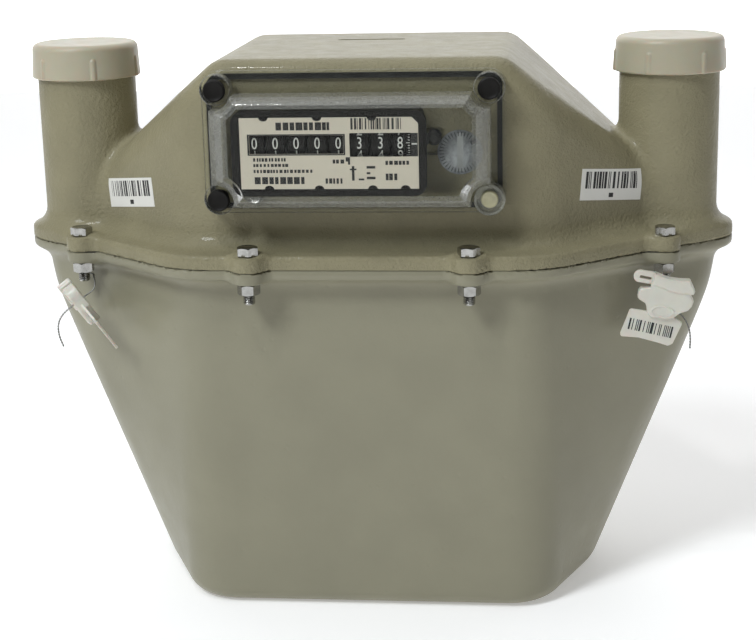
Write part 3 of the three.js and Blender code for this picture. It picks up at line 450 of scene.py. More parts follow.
ZINC = finish(
    "bright_zinc", (0.4, 0.395, 0.375), 0.12, 2.5, 0.21, 0.06, [(0.6, 0.006, 2.0)], metallic=1.0)
YELLOW_ZINC = finish(
    "yellow_plug", (0.5, 0.47, 0.3), 0.12, 2.5, 0.4, 0.08, [(0.6, 0.02, 3.0)])
DARK_STEEL = finish("oiled_steel", (0.07, 0.07, 0.068), 0.15, 3, 0.5, 0.08, [(0.5, 0.02, 2.0)], metallic=1.0)
ALUMINIUM = finish(
    "bare_aluminium", (0.55, 0.56, 0.57), 0.08, 6, 0.38, 0.08, [(1.2, 0.04, 3.0)], metallic=1.0)
GREY_PLASTIC = finish("grey_plastic", (0.16, 0.17, 0.175), 0.05, 12, 0.45, 0.06, [(0.8, 0.02, 2.0)])
CLOTH = finish("coated_cloth", (0.035, 0.033, 0.03), 0.15, 4, 0.8, 0.06, [(0.7, 0.08, 2.0)])
SEAL_PLASTIC = finish(
    "white_nylon", (0.63, 0.61, 0.535), 0.02, 5, 0.34, 0.05, [(1.5, 0.03, 2.0)],
    subsurface_weight=0.25, subsurface_scale=0.002)
WIRE_STEEL = finish("dull_steel", (0.3, 0.3, 0.285), 0.25, 1.5, 0.42, 0.1, [(0.3, 0.02, 2.0)], metallic=1.0)
FOIL = finish("silver_foil", (0.33, 0.345, 0.355), 0.22, 1.6, 0.4, 0.08, [(1.0, 0.03, 2.0)], metallic=0.8)
FOIL_PALE = finish("pale_foil", (0.44, 0.455, 0.45), 0.05, 2, 0.5, 0.05, [(0.8, 0.01, 2.0)])
FOIL_DARK = finish("foil_print", (0.06, 0.065, 0.07), 0.1, 3, 0.45, 0.05, [(0.8, 0.01, 2.0)], metallic=0.4)
STICKER = finish("white_sticker", (0.74, 0.73, 0.68), 0.015, 8, 0.42, 0.04, [(0.8, 0.01, 2.0)])


def clear_plastic(name, body_share, tint, speckle, ior):
    """Thin clear plastic: light goes straight through and mirrors at its surface. body_share is how much of
    it is a grey body: on the cup this is its own milky plastic, and on the cover's bevel a painted refraction
    of the casing's paint seen through the clear plastic; speckle makes that body grainy."""
    paint = bpy.data.materials.new(name)
    paint.use_nodes = True
    tree = paint.node_tree
    body_and_painted_refraction = tree.nodes["Principled BSDF"]
    grain = noise(tree, 0.7, 2.0)
    dark = tuple(c * 0.8 for c in tint)
    share = remap(tree, grain, 0.35, 0.65, 0.0, 1.0)
    tree.links.new(mix_colour(tree, share, dark, tint), body_and_painted_refraction.inputs["Base Color"])
    height = {"Height": grain, "Distance": 0.12 * MM * speckle, "Strength": 1.0}
    tree.links.new(add_node(tree, "Bump", height).outputs[0], body_and_painted_refraction.inputs["Normal"])
    rough = remap(tree, noise(tree, 4, 2.0), 0.3, 0.7, 0.08 + 0.2 * speckle, 0.14 + 0.25 * speckle)
    tree.links.new(rough, body_and_painted_refraction.inputs["Roughness"])
    through = add_node(tree, "BsdfTransparent", {"Color": (0.985, 0.99, 0.98, 1)})
    gloss = remap(tree, noise(tree, 9, 3.0), 0.3, 0.7, 0.01, 0.06)
    mirror = add_node(tree, "BsdfGlossy", {"Color": (1, 1, 1, 1), "Roughness": gloss})
    fresnel = add_node(tree, "Fresnel", {"IOR": ior})
    pane = add_node(tree, "MixShader", {0: fresnel.outputs[0], 1: through.outputs[0], 2: mirror.outputs[0]})
    low, high = body_share * (1 - 0.35 * speckle), body_share * (1 + 0.35 * speckle)
    spots = remap(tree, grain, 0.4, 0.62, low, high)
    whole = add_node(tree, "MixShader", {0: spots, 1: pane.outputs[0], 2: body_and_painted_refraction.outputs[0]})
    tree.links.new(whole.outputs[0], tree.nodes["Material Output"].inputs["Surface"])
    return paint


CLEAR = clear_plastic("clear_plastic", 0.01, (0.5, 0.5, 0.46), 0.0, 1.15)
# Painted refraction: the bevel's grey speckled body stands in for the casing's hammered paint seen through
# the clear bevel.
CLEAR_EDGE = clear_plastic("clear_bevel_painted_refraction", 0.38, (0.36, 0.36, 0.325), 0.85, 1.4)
CLEAR_CUP = clear_plastic("milky_clear_plastic", 0.25, (0.5, 0.5, 0.42), 0.2, 1.35)

SLOT_PAINTS = {
    "upper_paint": UPPER_PAINT, "lower_paint": LOWER_PAINT, "gasket_rubber": RUBBER,
    "cap_plastic": CAP_PLASTIC, "clear_plastic": CLEAR, "black_plastic": BLACK_PLASTIC,
    "dial_face": DIAL_PAPER, "wheel_plastic": BLACK_PLASTIC, "bright_zinc": ZINC,
    "yellow_zinc": YELLOW_ZINC, "bare_aluminium": ALUMINIUM, "grey_plastic": GREY_PLASTIC,
    "diaphragm_cloth": CLOTH, "seal_plastic": SEAL_PLASTIC, "seal_wire": WIRE_STEEL,
}


NODE_PAINTS = {"index_drive_shaft": DARK_STEEL}


def paint_cad_nodes():
    """Gives every carried-over CAD node the material of its slot, or its own one."""
    for part in frame["record"]["subparts"]:
        mesh = frame["nodes"][part["node"]].data
        mesh.materials.clear()
        mesh.materials.append(NODE_PAINTS.get(part["node"], SLOT_PAINTS[part["material_slot"]]))


paint_cad_nodes()


# ---------- seal wires: the free cords ----------

WIRE_RADIUS = 0.4
LEFT_WIRE_ROUTE = [
    (-125.2, -32, 138.4), (-122.3, -30.6, 138.3), (-119, -32.3, 138.2), (-117.6, -36.5, 137.8),
    (-116, -41, 136.6), (-116, -43.6, 134.4), (-119.2, -44.5, 131.9), (-122.2, -45.9, 129.7),
    (-125.2, -47.3, 127.5), (-129.4, -47.6, 123.6), (-131.4, -47, 119.4), (-131.4, -46.6, 114.6),
    (-130, -46.2, 109.8),
]
RIGHT_WIRE_ROUTE = [
    (125.2, -32, 138.4), (122.3, -30.6, 138.3), (119, -32.3, 138.2), (117.8, -35.6, 137.4),
    (118.8, -38.6, 135.4), (121, -40.6, 132), (123.8, -41.4, 128.6), (127, -41.8, 125.6),
    (130.2, -42.4, 122.4), (132.2, -43, 118.4), (132.9, -43.4, 114), (132.8, -43.6, 109.8),
]


# Knots between which each level of the curve's construction blends its points.
CURVE_LEVELS = (((0, 1), (1, 2), (2, 3)), ((0, 2), (1, 3)), ((1, 2),))


def smooth_route(route, steps=28):
    """Centripetal Catmull-Rom curve through the points, as the CAD model draws it."""
    points = [Vector(p) for p in route]
    points = [2 * points[0] - points[1], *points, 2 * points[-1] - points[-2]]
    curve = []
    for a, b, c, d in zip(points, points[1:], points[2:], points[3:]):
        knots = [0.0]
        for start, end in ((a, b), (b, c), (c, d)):
            knots.append(knots[-1] + math.sqrt((end - start).length))
        for step in range(steps):
            t = knots[1] + (knots[2] - knots[1]) * step / steps
            level = [a, b, c, d]
            for bounds in CURVE_LEVELS:
                level = [
                    p.lerp(q, (t - knots[i]) / (knots[j] - knots[i]))
                    for (i, j), p, q in zip(bounds, level, level[1:])]
            curve.append(level[0])
    curve.append(points[-2])
    return curve


def route_frames(curve):
    """Two crosswise unit vectors at each point of a curve, turned as little as possible."""
    frames = []
    across = None
    for i, point in enumerate(curve):
        along = (curve[min(i + 1, len(curve) - 1)] - curve[max(i - 1, 0)]).normalized()
        if across is None:
            across = along.orthogonal()
        across = (across - along * across.dot(along)).normalized()
        frames.append((across, along.cross(across)))
    return frames


def twisted_wire(curve, radius, turns_per_mm=0.4, sides=12):
    """A two-strand wire: a tube with two lobes that wind round its middle line."""
    rings = []
    travelled = 0.0
    for i, (point, (u, v)) in enumerate(zip(curve, route_frames(curve))):
        if i:
            travelled += (point - curve[i - 1]).length
        twist = 2 * math.pi * turns_per_mm * travelled
        ring = []
        for k in range(sides):
            angle = 2 * math.pi * k / sides
            reach = radius * (0.75 + 0.25 * math.cos(2 * (angle - twist)))
            ring.append(point + u * (reach * math.cos(angle)) + v * (reach * math.sin(angle)))
        rings.append(ring)
    return lofted(rings)


def seal_wire(side, route):
    curve = smooth_route(route)
    mesh = make_mesh(f"{side}_wire", *twisted_wire(curve, WIRE_RADIUS))
    node = f"{side}_seal_wire"
    wire = piece(f"{side}_twisted_wire", mesh, WIRE_STEEL, replaces=[node], sharp=80)
    return wire, curve


LEFT_WIRE, LEFT_CURVE = seal_wire("left", LEFT_WIRE_ROUTE)
RIGHT_WIRE, RIGHT_CURVE = seal_wire("right", RIGHT_WIRE_ROUTE)


# ---------- casings ----------

def upper_hull(x, y, z):
    """Upper casing without necks and flange: six-sided plan under a flat top with two shoulders."""
    plan = hexagon(x, y, *WALL_PLAN)
    steepness = math.hypot(1, SHOULDER_FALL)
    shoulder = (SHOULDER_FALL * (np.abs(x) - SHOULDER_X) + z - NECK_TOP_Z) / steepness
    roof = rounded_and(z - NECK_TOP_Z, shoulder, 1 / steepness, 12)
    outwards = np.clip((np.abs(x) - 50) / 30, 0, 1)
    return blend_and(plan, roof, 7 + 2 * outwards)


def flange(x, y, z, top_z, boss_z):
    """Flange plate and its bolt bosses below a top face; the underside is left open."""
    plan = hexagon(x, y, *FLANGE_PLAN)
    boss = blend_and(bolt_distance(x, y) - BOSS_RADIUS, z - boss_z, 1.0)
    return blend_or(blend_and(plan, z - top_z, FLANGE_EDGE_RADIUS), boss, 4)


def upper_casing(x, y, z):
    hull = upper_hull(x, y, z)
    from_neck = np.hypot(np.abs(x) - PORT_X, y)
    neck_radius = np.where(z > NECK_STEP_Z, NECK_THREAD_CORE, NECK_RADIUS)
    neck = blend_and(from_neck - neck_radius, z - NECK_TOP_Z, 0.8)
    outer = blend_or(hull, neck, 5)
    outer = blend_or(outer, flange(x, y, z, FLANGE_TOP_Z, BOSS_TOP_Z), 8)
    cavity = np.minimum(hull + UPPER_WALL, from_neck - BORE_RADIUS)
    for screw_x, screw_z in COVER_SCREWS:
        from_screw = np.hypot(x - screw_x, z - screw_z)
        lug = np.maximum(from_screw - 4.5, y + 47)
        cavity = np.maximum(cavity, -np.maximum(lug, -y - 60))
        outer = np.maximum(outer, -np.maximum(from_screw - 1.9, y + 48.5))
    shell = np.maximum(outer, -cavity)
    shell = np.maximum(shell, UPPER_FLOOR_Z - z)
    for pocket in (WHEEL_POCKET, DRIVE_SLOT):
        shell = np.maximum(shell, -brick(x, y, z, *pocket))
    shell = np.maximum(shell, -brick(x, y, z, *TOP_GROOVE))
    shaft_hole = np.maximum(np.hypot(x - 30, z - WHEEL_Z) - 2.4, y + 40)
    shell = np.maximum(shell, -shaft_hole)
    return np.maximum(shell, BOLT_HOLE_RADIUS - bolt_distance(x, y))


def lower_hull(x, y, z):
    """Lower casing without its flange: leaning sides that stand nearly upright above a soft bend."""
    share = z / PARTING_Z
    half_depth = LOWER_BOTTOM_HALF_DEPTH + (LOWER_TOP_HALF_DEPTH - LOWER_BOTTOM_HALF_DEPTH) * share
    upright = 144.2 + (z - 126) * LOWER_RIM_LEAN
    leaning = 140 - (117 - z) * LOWER_SIDE_LEAN
    bend = 2
    extreme = (upright + leaning - np.sqrt((upright - leaning) ** 2 + bend ** 2)) / 2
    corner_x = 74 - 6 * share
    corner_radius = 24 + 4 * share
    apex_radius = 55 - 40 * share
    apex_x = extreme
    for _ in range(8):
        sine = half_depth / np.hypot(half_depth, apex_x - corner_x)
        apex_x = extreme + apex_radius * (1 / sine - 1)
    plan = hexagon(x, y, half_depth, corner_x, apex_x, corner_radius, apex_radius) * 0.95
    return blend_and(plan, -z, 8.0)


def lower_casing(x, y, z):
    hull = lower_hull(x, y, z)
    plate_plan = hexagon(x, y, *FLANGE_PLAN)
    rim = blend_and(plate_plan, FLANGE_BOTTOM_Z - z, FLANGE_EDGE_RADIUS)
    boss = blend_and(bolt_distance(x, y) - BOSS_RADIUS, BOSS_BOTTOM_Z - z, 1.0)
    outer = blend_or(hull, blend_or(rim, boss, 4), 6)
    cavity = np.maximum(hull + LOWER_WALL, LOWER_WALL - z)
    shell = np.maximum(outer, -cavity)
    shell = np.maximum(shell, z - LOWER_TOP_Z)
    return np.maximum(shell, BOLT_HOLE_RADIUS - bolt_distance(x, y))


def gasket_edge(field, steps=360):
    """Outline of a plan field's zero line, found along rays from the middle."""
    turns = np.radians(np.arange(steps) * 360 / steps)
    near, far = np.full(steps, 30.0), np.full(steps, 170.0)
    for _ in range(30):
        middle = (near + far) / 2
        inside = field(middle * np.cos(turns), middle * np.sin(turns)) < 0
        near, far = np.where(inside, middle, near), np.where(inside, far, middle)
    return list(zip(near * np.cos(turns), near * np.sin(turns)))


def add_casing_gasket():
    """Thin rubber sheet between the flanges, its edge a little inside theirs."""
    outer = gasket_edge(lambda x, y: np.minimum(
        hexagon(x, y, *FLANGE_PLAN) + 1, bolt_distance(x, y) - BOSS_RADIUS + 1))
    inner = gasket_edge(lambda x, y: hexagon(x, y, *WALL_PLAN) + 2)
    low, high = LOWER_TOP_Z + 0.02, UPPER_FLOOR_Z - 0.02
    levels = ((outer, low), (outer, high), (inner, high), (inner, low))
    rings = [[(x, y, z) for x, y in edge] for edge, z in levels]
    sheet = make_mesh("casing_gasket", *lofted(rings, closed=True))
    holes = []
    for x, y in BOLTS:
        hole = turned([(BOLT_HOLE_RADIUS, low - 2), (BOLT_HOLE_RADIUS, high + 2)], "z", (x, y, 0), 24)
        holes.append(make_mesh("gasket_hole", *hole))
    mesh = combined(sheet, "DIFFERENCE", *holes)
    piece("flange_gasket", mesh, RUBBER, replaces=["casing_gasket"], sharp=30)


def add_casings():
    low, high = box_mm("upper_casing")
    mesh = cast_mesh("upper_shell", upper_casing, low, high, 1.0, 0.01)
    piece("upper_cast_casing", mesh, UPPER_PAINT, replaces=["upper_casing"])
    low, high = box_mm("lower_casing")
    mesh = cast_mesh("lower_shell", lower_casing, low, high, 1.1, 0.01)
    piece("lower_cast_casing", mesh, LOWER_PAINT, replaces=["lower_casing"])


add_casings()
add_casing_gasket()


# ---------- port caps and neck threads ----------

CAP_RIM_Z = 219.2
CAP_TOP_Z = 233.7
CAP_RIM_RADIUS = 23.1
CAP_TOP_RADIUS = 22.5
CAP_INNER_RADIUS = 21.25
CAP_INNER_TOP_Z = 231.3
CAP_EDGE_RADIUS = 2.6
RIB_COUNT = 6
RIB_HALF_WIDTH = 1.15
RIB_HEIGHT = 9
RIB_DEPTH = 0.6
THREAD_PITCH = 2.309


def rib_depth(angle_deg, z, first_rib_deg):
    """How far the nearest grip rib stands out of the cap's wall. A rib ends in a round top."""
    step = 360 / RIB_COUNT
    offset = (angle_deg - first_rib_deg + 90 + step / 2) % step - step / 2
    across = math.radians(offset) * CAP_RIM_RADIUS
    above = max(0.0, z - (CAP_RIM_Z + RIB_HEIGHT - RIB_HALF_WIDTH))
    reach = math.hypot(across, above) / RIB_HALF_WIDTH
    return RIB_DEPTH * math.sqrt(max(0.0, 1 - reach * reach))


def cap_profile():
    """Points (radius, z) from the middle of the ceiling, round the rim, to the middle of the top."""
    profile = [(2, CAP_INNER_TOP_Z), (CAP_INNER_RADIUS - 0.6, CAP_INNER_TOP_Z)]
    profile += [(CAP_INNER_RADIUS, CAP_INNER_TOP_Z - 0.6), (CAP_INNER_RADIUS, CAP_RIM_Z + 0.4)]
    profile += [(CAP_INNER_RADIUS + 0.4, CAP_RIM_Z), (CAP_RIM_RADIUS - 0.5, CAP_RIM_Z)]
    side_top = CAP_TOP_Z - CAP_EDGE_RADIUS
    steps = 30
    for i in range(steps + 1):
        share = i / steps
        z = CAP_RIM_Z + 0.35 + (side_top - CAP_RIM_Z - 0.35) * share
        profile.append((CAP_RIM_RADIUS + (CAP_TOP_RADIUS - CAP_RIM_RADIUS) * share, z))
    for i in range(1, 9):
        angle = math.radians(90 * i / 8)
        radius = CAP_TOP_RADIUS - CAP_EDGE_RADIUS * (1 - math.cos(angle))
        profile.append((radius, side_top + CAP_EDGE_RADIUS * math.sin(angle)))
    profile += [(CAP_TOP_RADIUS - CAP_EDGE_RADIUS - 1.5, CAP_TOP_Z - 0.12), (6, CAP_TOP_Z - 0.15)]
    return profile


def port_cap(x, first_rib_deg):
    steps = 360
    rings = []
    for radius, z in cap_profile():
        ring = []
        for i in range(steps):
            angle = 360 * i / steps
            outside = radius > CAP_INNER_RADIUS + 0.5 and z < CAP_TOP_Z - 1
            reach = radius + (rib_depth(angle, z, first_rib_deg) if outside else 0)
            turn = math.radians(angle)
            ring.append((x + reach * math.cos(turn), reach * math.sin(turn), z))
        rings.append(ring)
    return make_mesh("port_cap", *lofted(rings))


def neck_thread(x):
    """Sleeve with the pipe thread of a neck."""
    steps = 60
    low_z, high_z = NECK_STEP_Z + 0.2, NECK_TOP_Z - 0.4
    crest = NECK_RADIUS
    rings = []
    levels = np.arange(low_z, high_z, THREAD_PITCH / 8)
    for z in levels:
        ring = []
        for i in range(steps):
            turn = 2 * math.pi * i / steps
            phase = ((z - low_z) / THREAD_PITCH - i / steps) % 1
            runout = min(1.0, (z - low_z) / 1.5, (high_z - z) / 1.5)
            depth = 1.35 * (0.5 + 0.5 * math.cos(2 * math.pi * phase)) + 0.5 * (1 - max(0.0, runout))
            ring.append((x + (crest - depth) * math.cos(turn), (crest - depth) * math.sin(turn), z))
        rings.append(ring)
    inner = NECK_THREAD_CORE + 0.02
    for z in (levels[-1], levels[0]):
        turns = [2 * math.pi * i / steps for i in range(steps)]
        rings.append([(x + inner * math.cos(t), inner * math.sin(t), z) for t in turns])
    return make_mesh("neck_thread", *lofted(rings, closed=True))


def add_ports():
    for side, x, first_rib_deg in (("inlet", -PORT_X, -37.5), ("outlet", PORT_X, -26)):
        mesh = port_cap(x, first_rib_deg)
        node = f"{side}_port_cap"
        piece(f"{side}_screw_cap", mesh, CAP_PLASTIC, f"{side}_cap", [node], sharp=60)
        piece(f"{side}_neck_thread", neck_thread(x), UPPER_PAINT, sharp=60)


add_ports()


# ---------- flange bolts and nuts ----------

HEX_APOTHEM = 4.0
HEX_STEPS = 48
BOLT_RADIUS = 2.5
METRIC_PITCH = 0.8


def hex_ring(x, y, z, turn_deg, chamfer=0.0):
    """Hexagon outline at height z. With a chamfer its corners dip away from z (down if positive)."""
    ring = []
    for i in range(HEX_STEPS):
        angle = 360 * i / HEX_STEPS
        reach = HEX_APOTHEM / math.cos(math.radians((angle + 30) % 60 - 30))
        dip = (reach - HEX_APOTHEM * 0.97) * math.tan(math.radians(32)) * chamfer
        turn = math.radians(angle + turn_deg)
        ring.append((x + reach * math.cos(turn), y + reach * math.sin(turn), z - dip))
    return ring


def round_ring(x, y, z, radius, turn_deg=0.0):
    turns = [math.radians(360 * i / HEX_STEPS + turn_deg) for i in range(HEX_STEPS)]
    return [(x + radius * math.cos(t), y + radius * math.sin(t), z) for t in turns]


def hex_bolt(x, y, head_z, tip_z, turn_deg):
    """Bolt with its thread cut where it shows below the nut."""
    rings = [round_ring(x, y, tip_z, 1.6, turn_deg), round_ring(x, y, tip_z + 0.05, 1.9, turn_deg)]
    thread_top = tip_z + 5
    for z in np.arange(tip_z + 0.5, thread_top, METRIC_PITCH / 6):
        ring = []
        for i in range(HEX_STEPS):
            phase = ((z - tip_z) / METRIC_PITCH - i / HEX_STEPS) % 1
            reach = BOLT_RADIUS - 0.42 * abs(2 * phase - 1)
            turn = math.radians(360 * i / HEX_STEPS + turn_deg)
            ring.append((x + reach * math.cos(turn), y + reach * math.sin(turn), z))
        rings.append(ring)
    rings.append(round_ring(x, y, thread_top + 0.3, BOLT_RADIUS - 0.1, turn_deg))
    rings.append(round_ring(x, y, head_z, BOLT_RADIUS - 0.1, turn_deg))
    rings.append(round_ring(x, y, head_z, HEX_APOTHEM * 0.98, turn_deg))
    rings.append(hex_ring(x, y, head_z + 0.25, turn_deg))
    top = head_z + 3.5
    rings.append(hex_ring(x, y, top, turn_deg, 1))
    rings.append(round_ring(x, y, top, HEX_APOTHEM * 0.93, turn_deg))
    rings.append(round_ring(x, y, top - 0.25, HEX_APOTHEM * 0.8, turn_deg))
    rings.append(round_ring(x, y, top - 0.3, 1, turn_deg))
    return make_mesh("hex_bolt", *lofted(rings))


def hex_nut(x, y, low_z, high_z, turn_deg):
    bore = 2.62
    rings = [round_ring(x, y, low_z + 0.3, bore, turn_deg), round_ring(x, y, low_z, bore + 0.35, turn_deg)]
    rings.append(round_ring(x, y, low_z, HEX_APOTHEM * 0.93, turn_deg))
    rings.append(hex_ring(x, y, low_z, turn_deg, -1))
    rings.append(hex_ring(x, y, high_z, turn_deg, 1))
    rings.append(round_ring(x, y, high_z, HEX_APOTHEM * 0.93, turn_deg))
    rings.append(round_ring(x, y, high_z, bore + 0.35, turn_deg))
    rings.append(round_ring(x, y, high_z - 0.3, bore, turn_deg))
    return make_mesh("hex_nut", *lofted(rings, closed=True))


def add_fasteners():
    dice = random.Random(3)
    for i, (x, y) in enumerate(BOLTS):
        low, high = box_mm(f"flange_bolt_{i + 1}")
        place = ((low.x + high.x) / 2, (low.y + high.y) / 2)
        mesh = hex_bolt(*place, high.z - 3.5, low.z, dice.uniform(0, 60))
        name = f"flange_bolt_{i + 1}"
        piece(f"hex_bolt_{i + 1}", mesh, ZINC, replaces=[name], sharp=25)
        low, high = box_mm(f"flange_nut_{i + 1}")
        mesh = hex_nut(*place, low.z, high.z, dice.uniform(0, 60))
        name = f"flange_nut_{i + 1}"
        piece(f"hex_nut_{i + 1}", mesh, ZINC, replaces=[name], sharp=25)


add_fasteners()


# ---------- counter: frame, dial plate and number wheels ----------

FRAME_FRONT_Y = -74.6
DIAL_FRONT_Y = -75.6
DIAL_BACK_Y = -74.9
FRAME_BOX = (-48.5, 27.9, 179.7, 213.1)
FRAME_BODY_X1 = 26.2
FRAME_HOLLOW = (-43.8, 23.6, 184, 209)
DIAL_BOX = (-45, 24.9, 182.6, 210.6)
INTEGER_WINDOW = (-41.3, -4.3, 196.4, 203.7)
DECIMAL_WINDOW = (-1.9, 22.1, 195.2, 204.5)
PRINT_DEPTH = 0.06


def add_counter_frame():
    sheet = plate(rounded_box(*FRAME_BOX, 4.5), [rounded_box(*FRAME_HOLLOW, 1.5)], FRAME_FRONT_Y, -72.2)
    body_box = (FRAME_BOX[0], FRAME_BODY_X1, FRAME_BOX[2], FRAME_BOX[3])
    body = plate(rounded_box(*body_box, 4.5), [rounded_box(*FRAME_HOLLOW, 1.5)], -73, FRONT_WALL_Y - 0.3)
    inner_box = (DIAL_BOX[0] - 0.5, DIAL_BOX[1] + 0.5, DIAL_BOX[2] - 0.5, DIAL_BOX[3] + 0.5)
    lip = plate(rounded_box(*FRAME_BOX, 4.5), [rounded_box(*inner_box, 1.2)], FRAME_FRONT_Y - 0.9, -73.5)
    bores = []
    for radius, end_x, z in ((1.3, 40, WHEEL_Z), (1.1, 25.2, PINION_ROW_Z)):
        bore = turned([(radius, -60), (radius, end_x)], "x", (0, WHEEL_Y, z), 24)
        bores.append(make_mesh("bore", *bore))
    mesh = combined(combined(sheet, "UNION", body, lip), "DIFFERENCE", *bores)
    piece("counter_housing", bevelled(mesh, 0.3), BLACK_PLASTIC, replaces=["counter_frame"])


def dial_outline():
    """Outline of the dial plate. Small half-round notches in both long edges clear its clips."""
    x0, x1, z0, z1 = DIAL_BOX
    notch = 1.9
    outline = []
    for edge_z, turn, places in ((z0, 1, (-33.9, -14.1, 6.9, 19.7)), (z1, -1, (6.9, -14.5, -35.5))):
        corners = ((x0, edge_z), (x1, edge_z)) if turn > 0 else ((x1 - 2.5, edge_z), (x0, edge_z))
        if turn < 0:
            outline.append((x1, edge_z - 2.5))
        outline.append(corners[0])
        for x in places:
            for i in range(9):
                angle = math.pi * (1 - i / 8)
                reach = turn * notch
                outline.append((x + reach * math.cos(angle), edge_z + 0.75 * reach * math.sin(angle)))
        outline.append(corners[1])
    return outline


def box_outline(x0, x1, z0, z1):
    return [(x0, z0), (x1, z0), (x1, z1), (x0, z1)]


def bars(boxes, front_y, depth=PRINT_DEPTH):
    """Thin printed rectangles standing on a face that looks along -Y."""
    prisms = []
    for box in boxes:
        outline = box_outline(*box)
        prisms.append(lofted([[(x, y, z) for x, z in outline] for y in (front_y - depth, front_y)]))
    return merged(*prisms)


def word_row(dice, x0, x1, z0, z1, widest=4.0):
    """A row of plain blocks that stands for a line of print."""
    boxes = []
    x = x0
    while x < x1 - 0.6:
        width = min(dice.uniform(0.25, 0.5) * widest, x1 - x)
        boxes.append((x, x + width, z0 + dice.uniform(0, 0.08), z1))
        x += width + dice.uniform(0.25, 0.7)
    return boxes


def barcode(dice, x0, x1, z0, z1, thinnest=0.28):
    boxes = []
    x = x0
    while x < x1:
        width = thinnest * dice.choice((1, 1, 2, 3))
        boxes.append((x, min(x + width, x1), z0, z1))
        x += width + thinnest * dice.choice((1, 1, 2, 3))
    return boxes


def add_dial():
    windows = [rounded_box(*INTEGER_WINDOW, 0.4, 3), rounded_box(*DECIMAL_WINDOW, 0.4, 3)]
    mesh = plate(dial_outline(), windows, DIAL_FRONT_Y, DIAL_BACK_Y)
    piece("dial_sheet", mesh, DIAL_PAPER, replaces=["dial_plate"])
    dice = random.Random(11)
    boxes = word_row(dice, -30.6, -9.6, 205.7, 208.8, 6)
    boxes += barcode(dice, -1.3, 18.3, 205.9, 210.3)
    for x1, z0, z1 in ((-26.7, 193.5, 194.9), (-25.6, 191.4, 192.6), (-15.7, 189, 190.3)):
        boxes += word_row(dice, -39.9, x1, z0, z1, 2.4)
    boxes += word_row(dice, -39.6, -18.9, 184.6, 187.4, 5)
    boxes += word_row(dice, -11.6, -5, 184.7, 186.8, 3)
    boxes += word_row(dice, -8.6, -3.4, 192.6, 194.2, 3)
    boxes += [(-1.2, -0.2, 185.9, 191.6), (-2, 0.6, 190, 190.6), (1.4, 3.6, 186, 186.7)]
    boxes += [(4.6, 8, 190.6, 191.6), (4.6, 8, 186.4, 187.4), (4.6, 6, 188.4, 189.2)]
    boxes += word_row(dice, 12, 22, 192, 193.6, 3) + word_row(dice, 12, 16.5, 186, 188.6, 3)
    boxes += [(22.1, 24.7, 195.3, 204.4), (-3.5, -1.8, 193.4, 195.1), (-2.6, -1.8, 192.2, 193.4)]
    boxes += [(-42, -3.6, 203.75, 204.2), (-42, -3.6, 195.9, 196.35)]
    boxes += [(-42, -41.35, 196.35, 203.75), (-4.25, -3.6, 196.35, 203.75)]
    print_mesh = make_mesh("dial_print", *bars(boxes, DIAL_FRONT_Y))
    piece("dial_print", print_mesh, INK, sharp=20)
    pointer = make_mesh("pointer", *bars([(22.3, 24.4, 199.9, 200.5)], DIAL_FRONT_Y - PRINT_DEPTH))
    piece("dial_pointer", pointer, DIGIT_PAINT, sharp=20)


def flat_digit(figure, height, width_scale):
    """Outline solid of a digit, centred, as (points, faces) in mm, cut into low slices to bend."""
    curve = bpy.data.curves.new("digit", "FONT")
    curve.body = figure
    curve.extrude = 0.5
    curve.resolution_u = 3
    obj = bpy.data.objects.new("digit", curve)
    bpy.context.scene.collection.objects.link(obj)
    mesh = bpy.data.meshes.new_from_object(obj.evaluated_get(bpy.context.evaluated_depsgraph_get()))
    bpy.data.objects.remove(obj)
    glyph = bmesh.new()
    glyph.from_mesh(mesh)
    bmesh.ops.remove_doubles(glyph, verts=glyph.verts, dist=1e-5)
    ys = [v.co.y for v in glyph.verts]
    xs = [v.co.x for v in glyph.verts]
    low, span = min(ys), max(ys) - min(ys)
    for i in range(1, 9):
        geometry = glyph.verts[:] + glyph.edges[:] + glyph.faces[:]
        bmesh.ops.bisect_plane(glyph, geom=geometry, plane_co=(0, low + span * i / 9, 0), plane_no=(0, 1, 0))
    middle = (min(xs) + max(xs)) / 2
    scale = height / span
    points = []
    for vert in glyph.verts:
        across, up = (vert.co.x - middle) * scale * width_scale, (vert.co.y - low - span / 2) * scale
        points.append((across, up, vert.co.z))
    glyph.verts.index_update()
    faces = [tuple(v.index for v in face.verts) for face in glyph.faces]
    glyph.free()
    return points, faces


def on_drum(points, x, below_deg, lift):
    """Bends flat points (across, up, out in -0.5..0.5) round a number wheel's drum."""
    bent = []
    for across, up, out in points:
        radius = WHEEL_RADIUS + (out + 0.5) * lift - 0.03
        turn = up / WHEEL_RADIUS - math.radians(below_deg)
        bent.append((x + across, WHEEL_Y - radius * math.cos(turn), WHEEL_Z + radius * math.sin(turn)))
    return bent


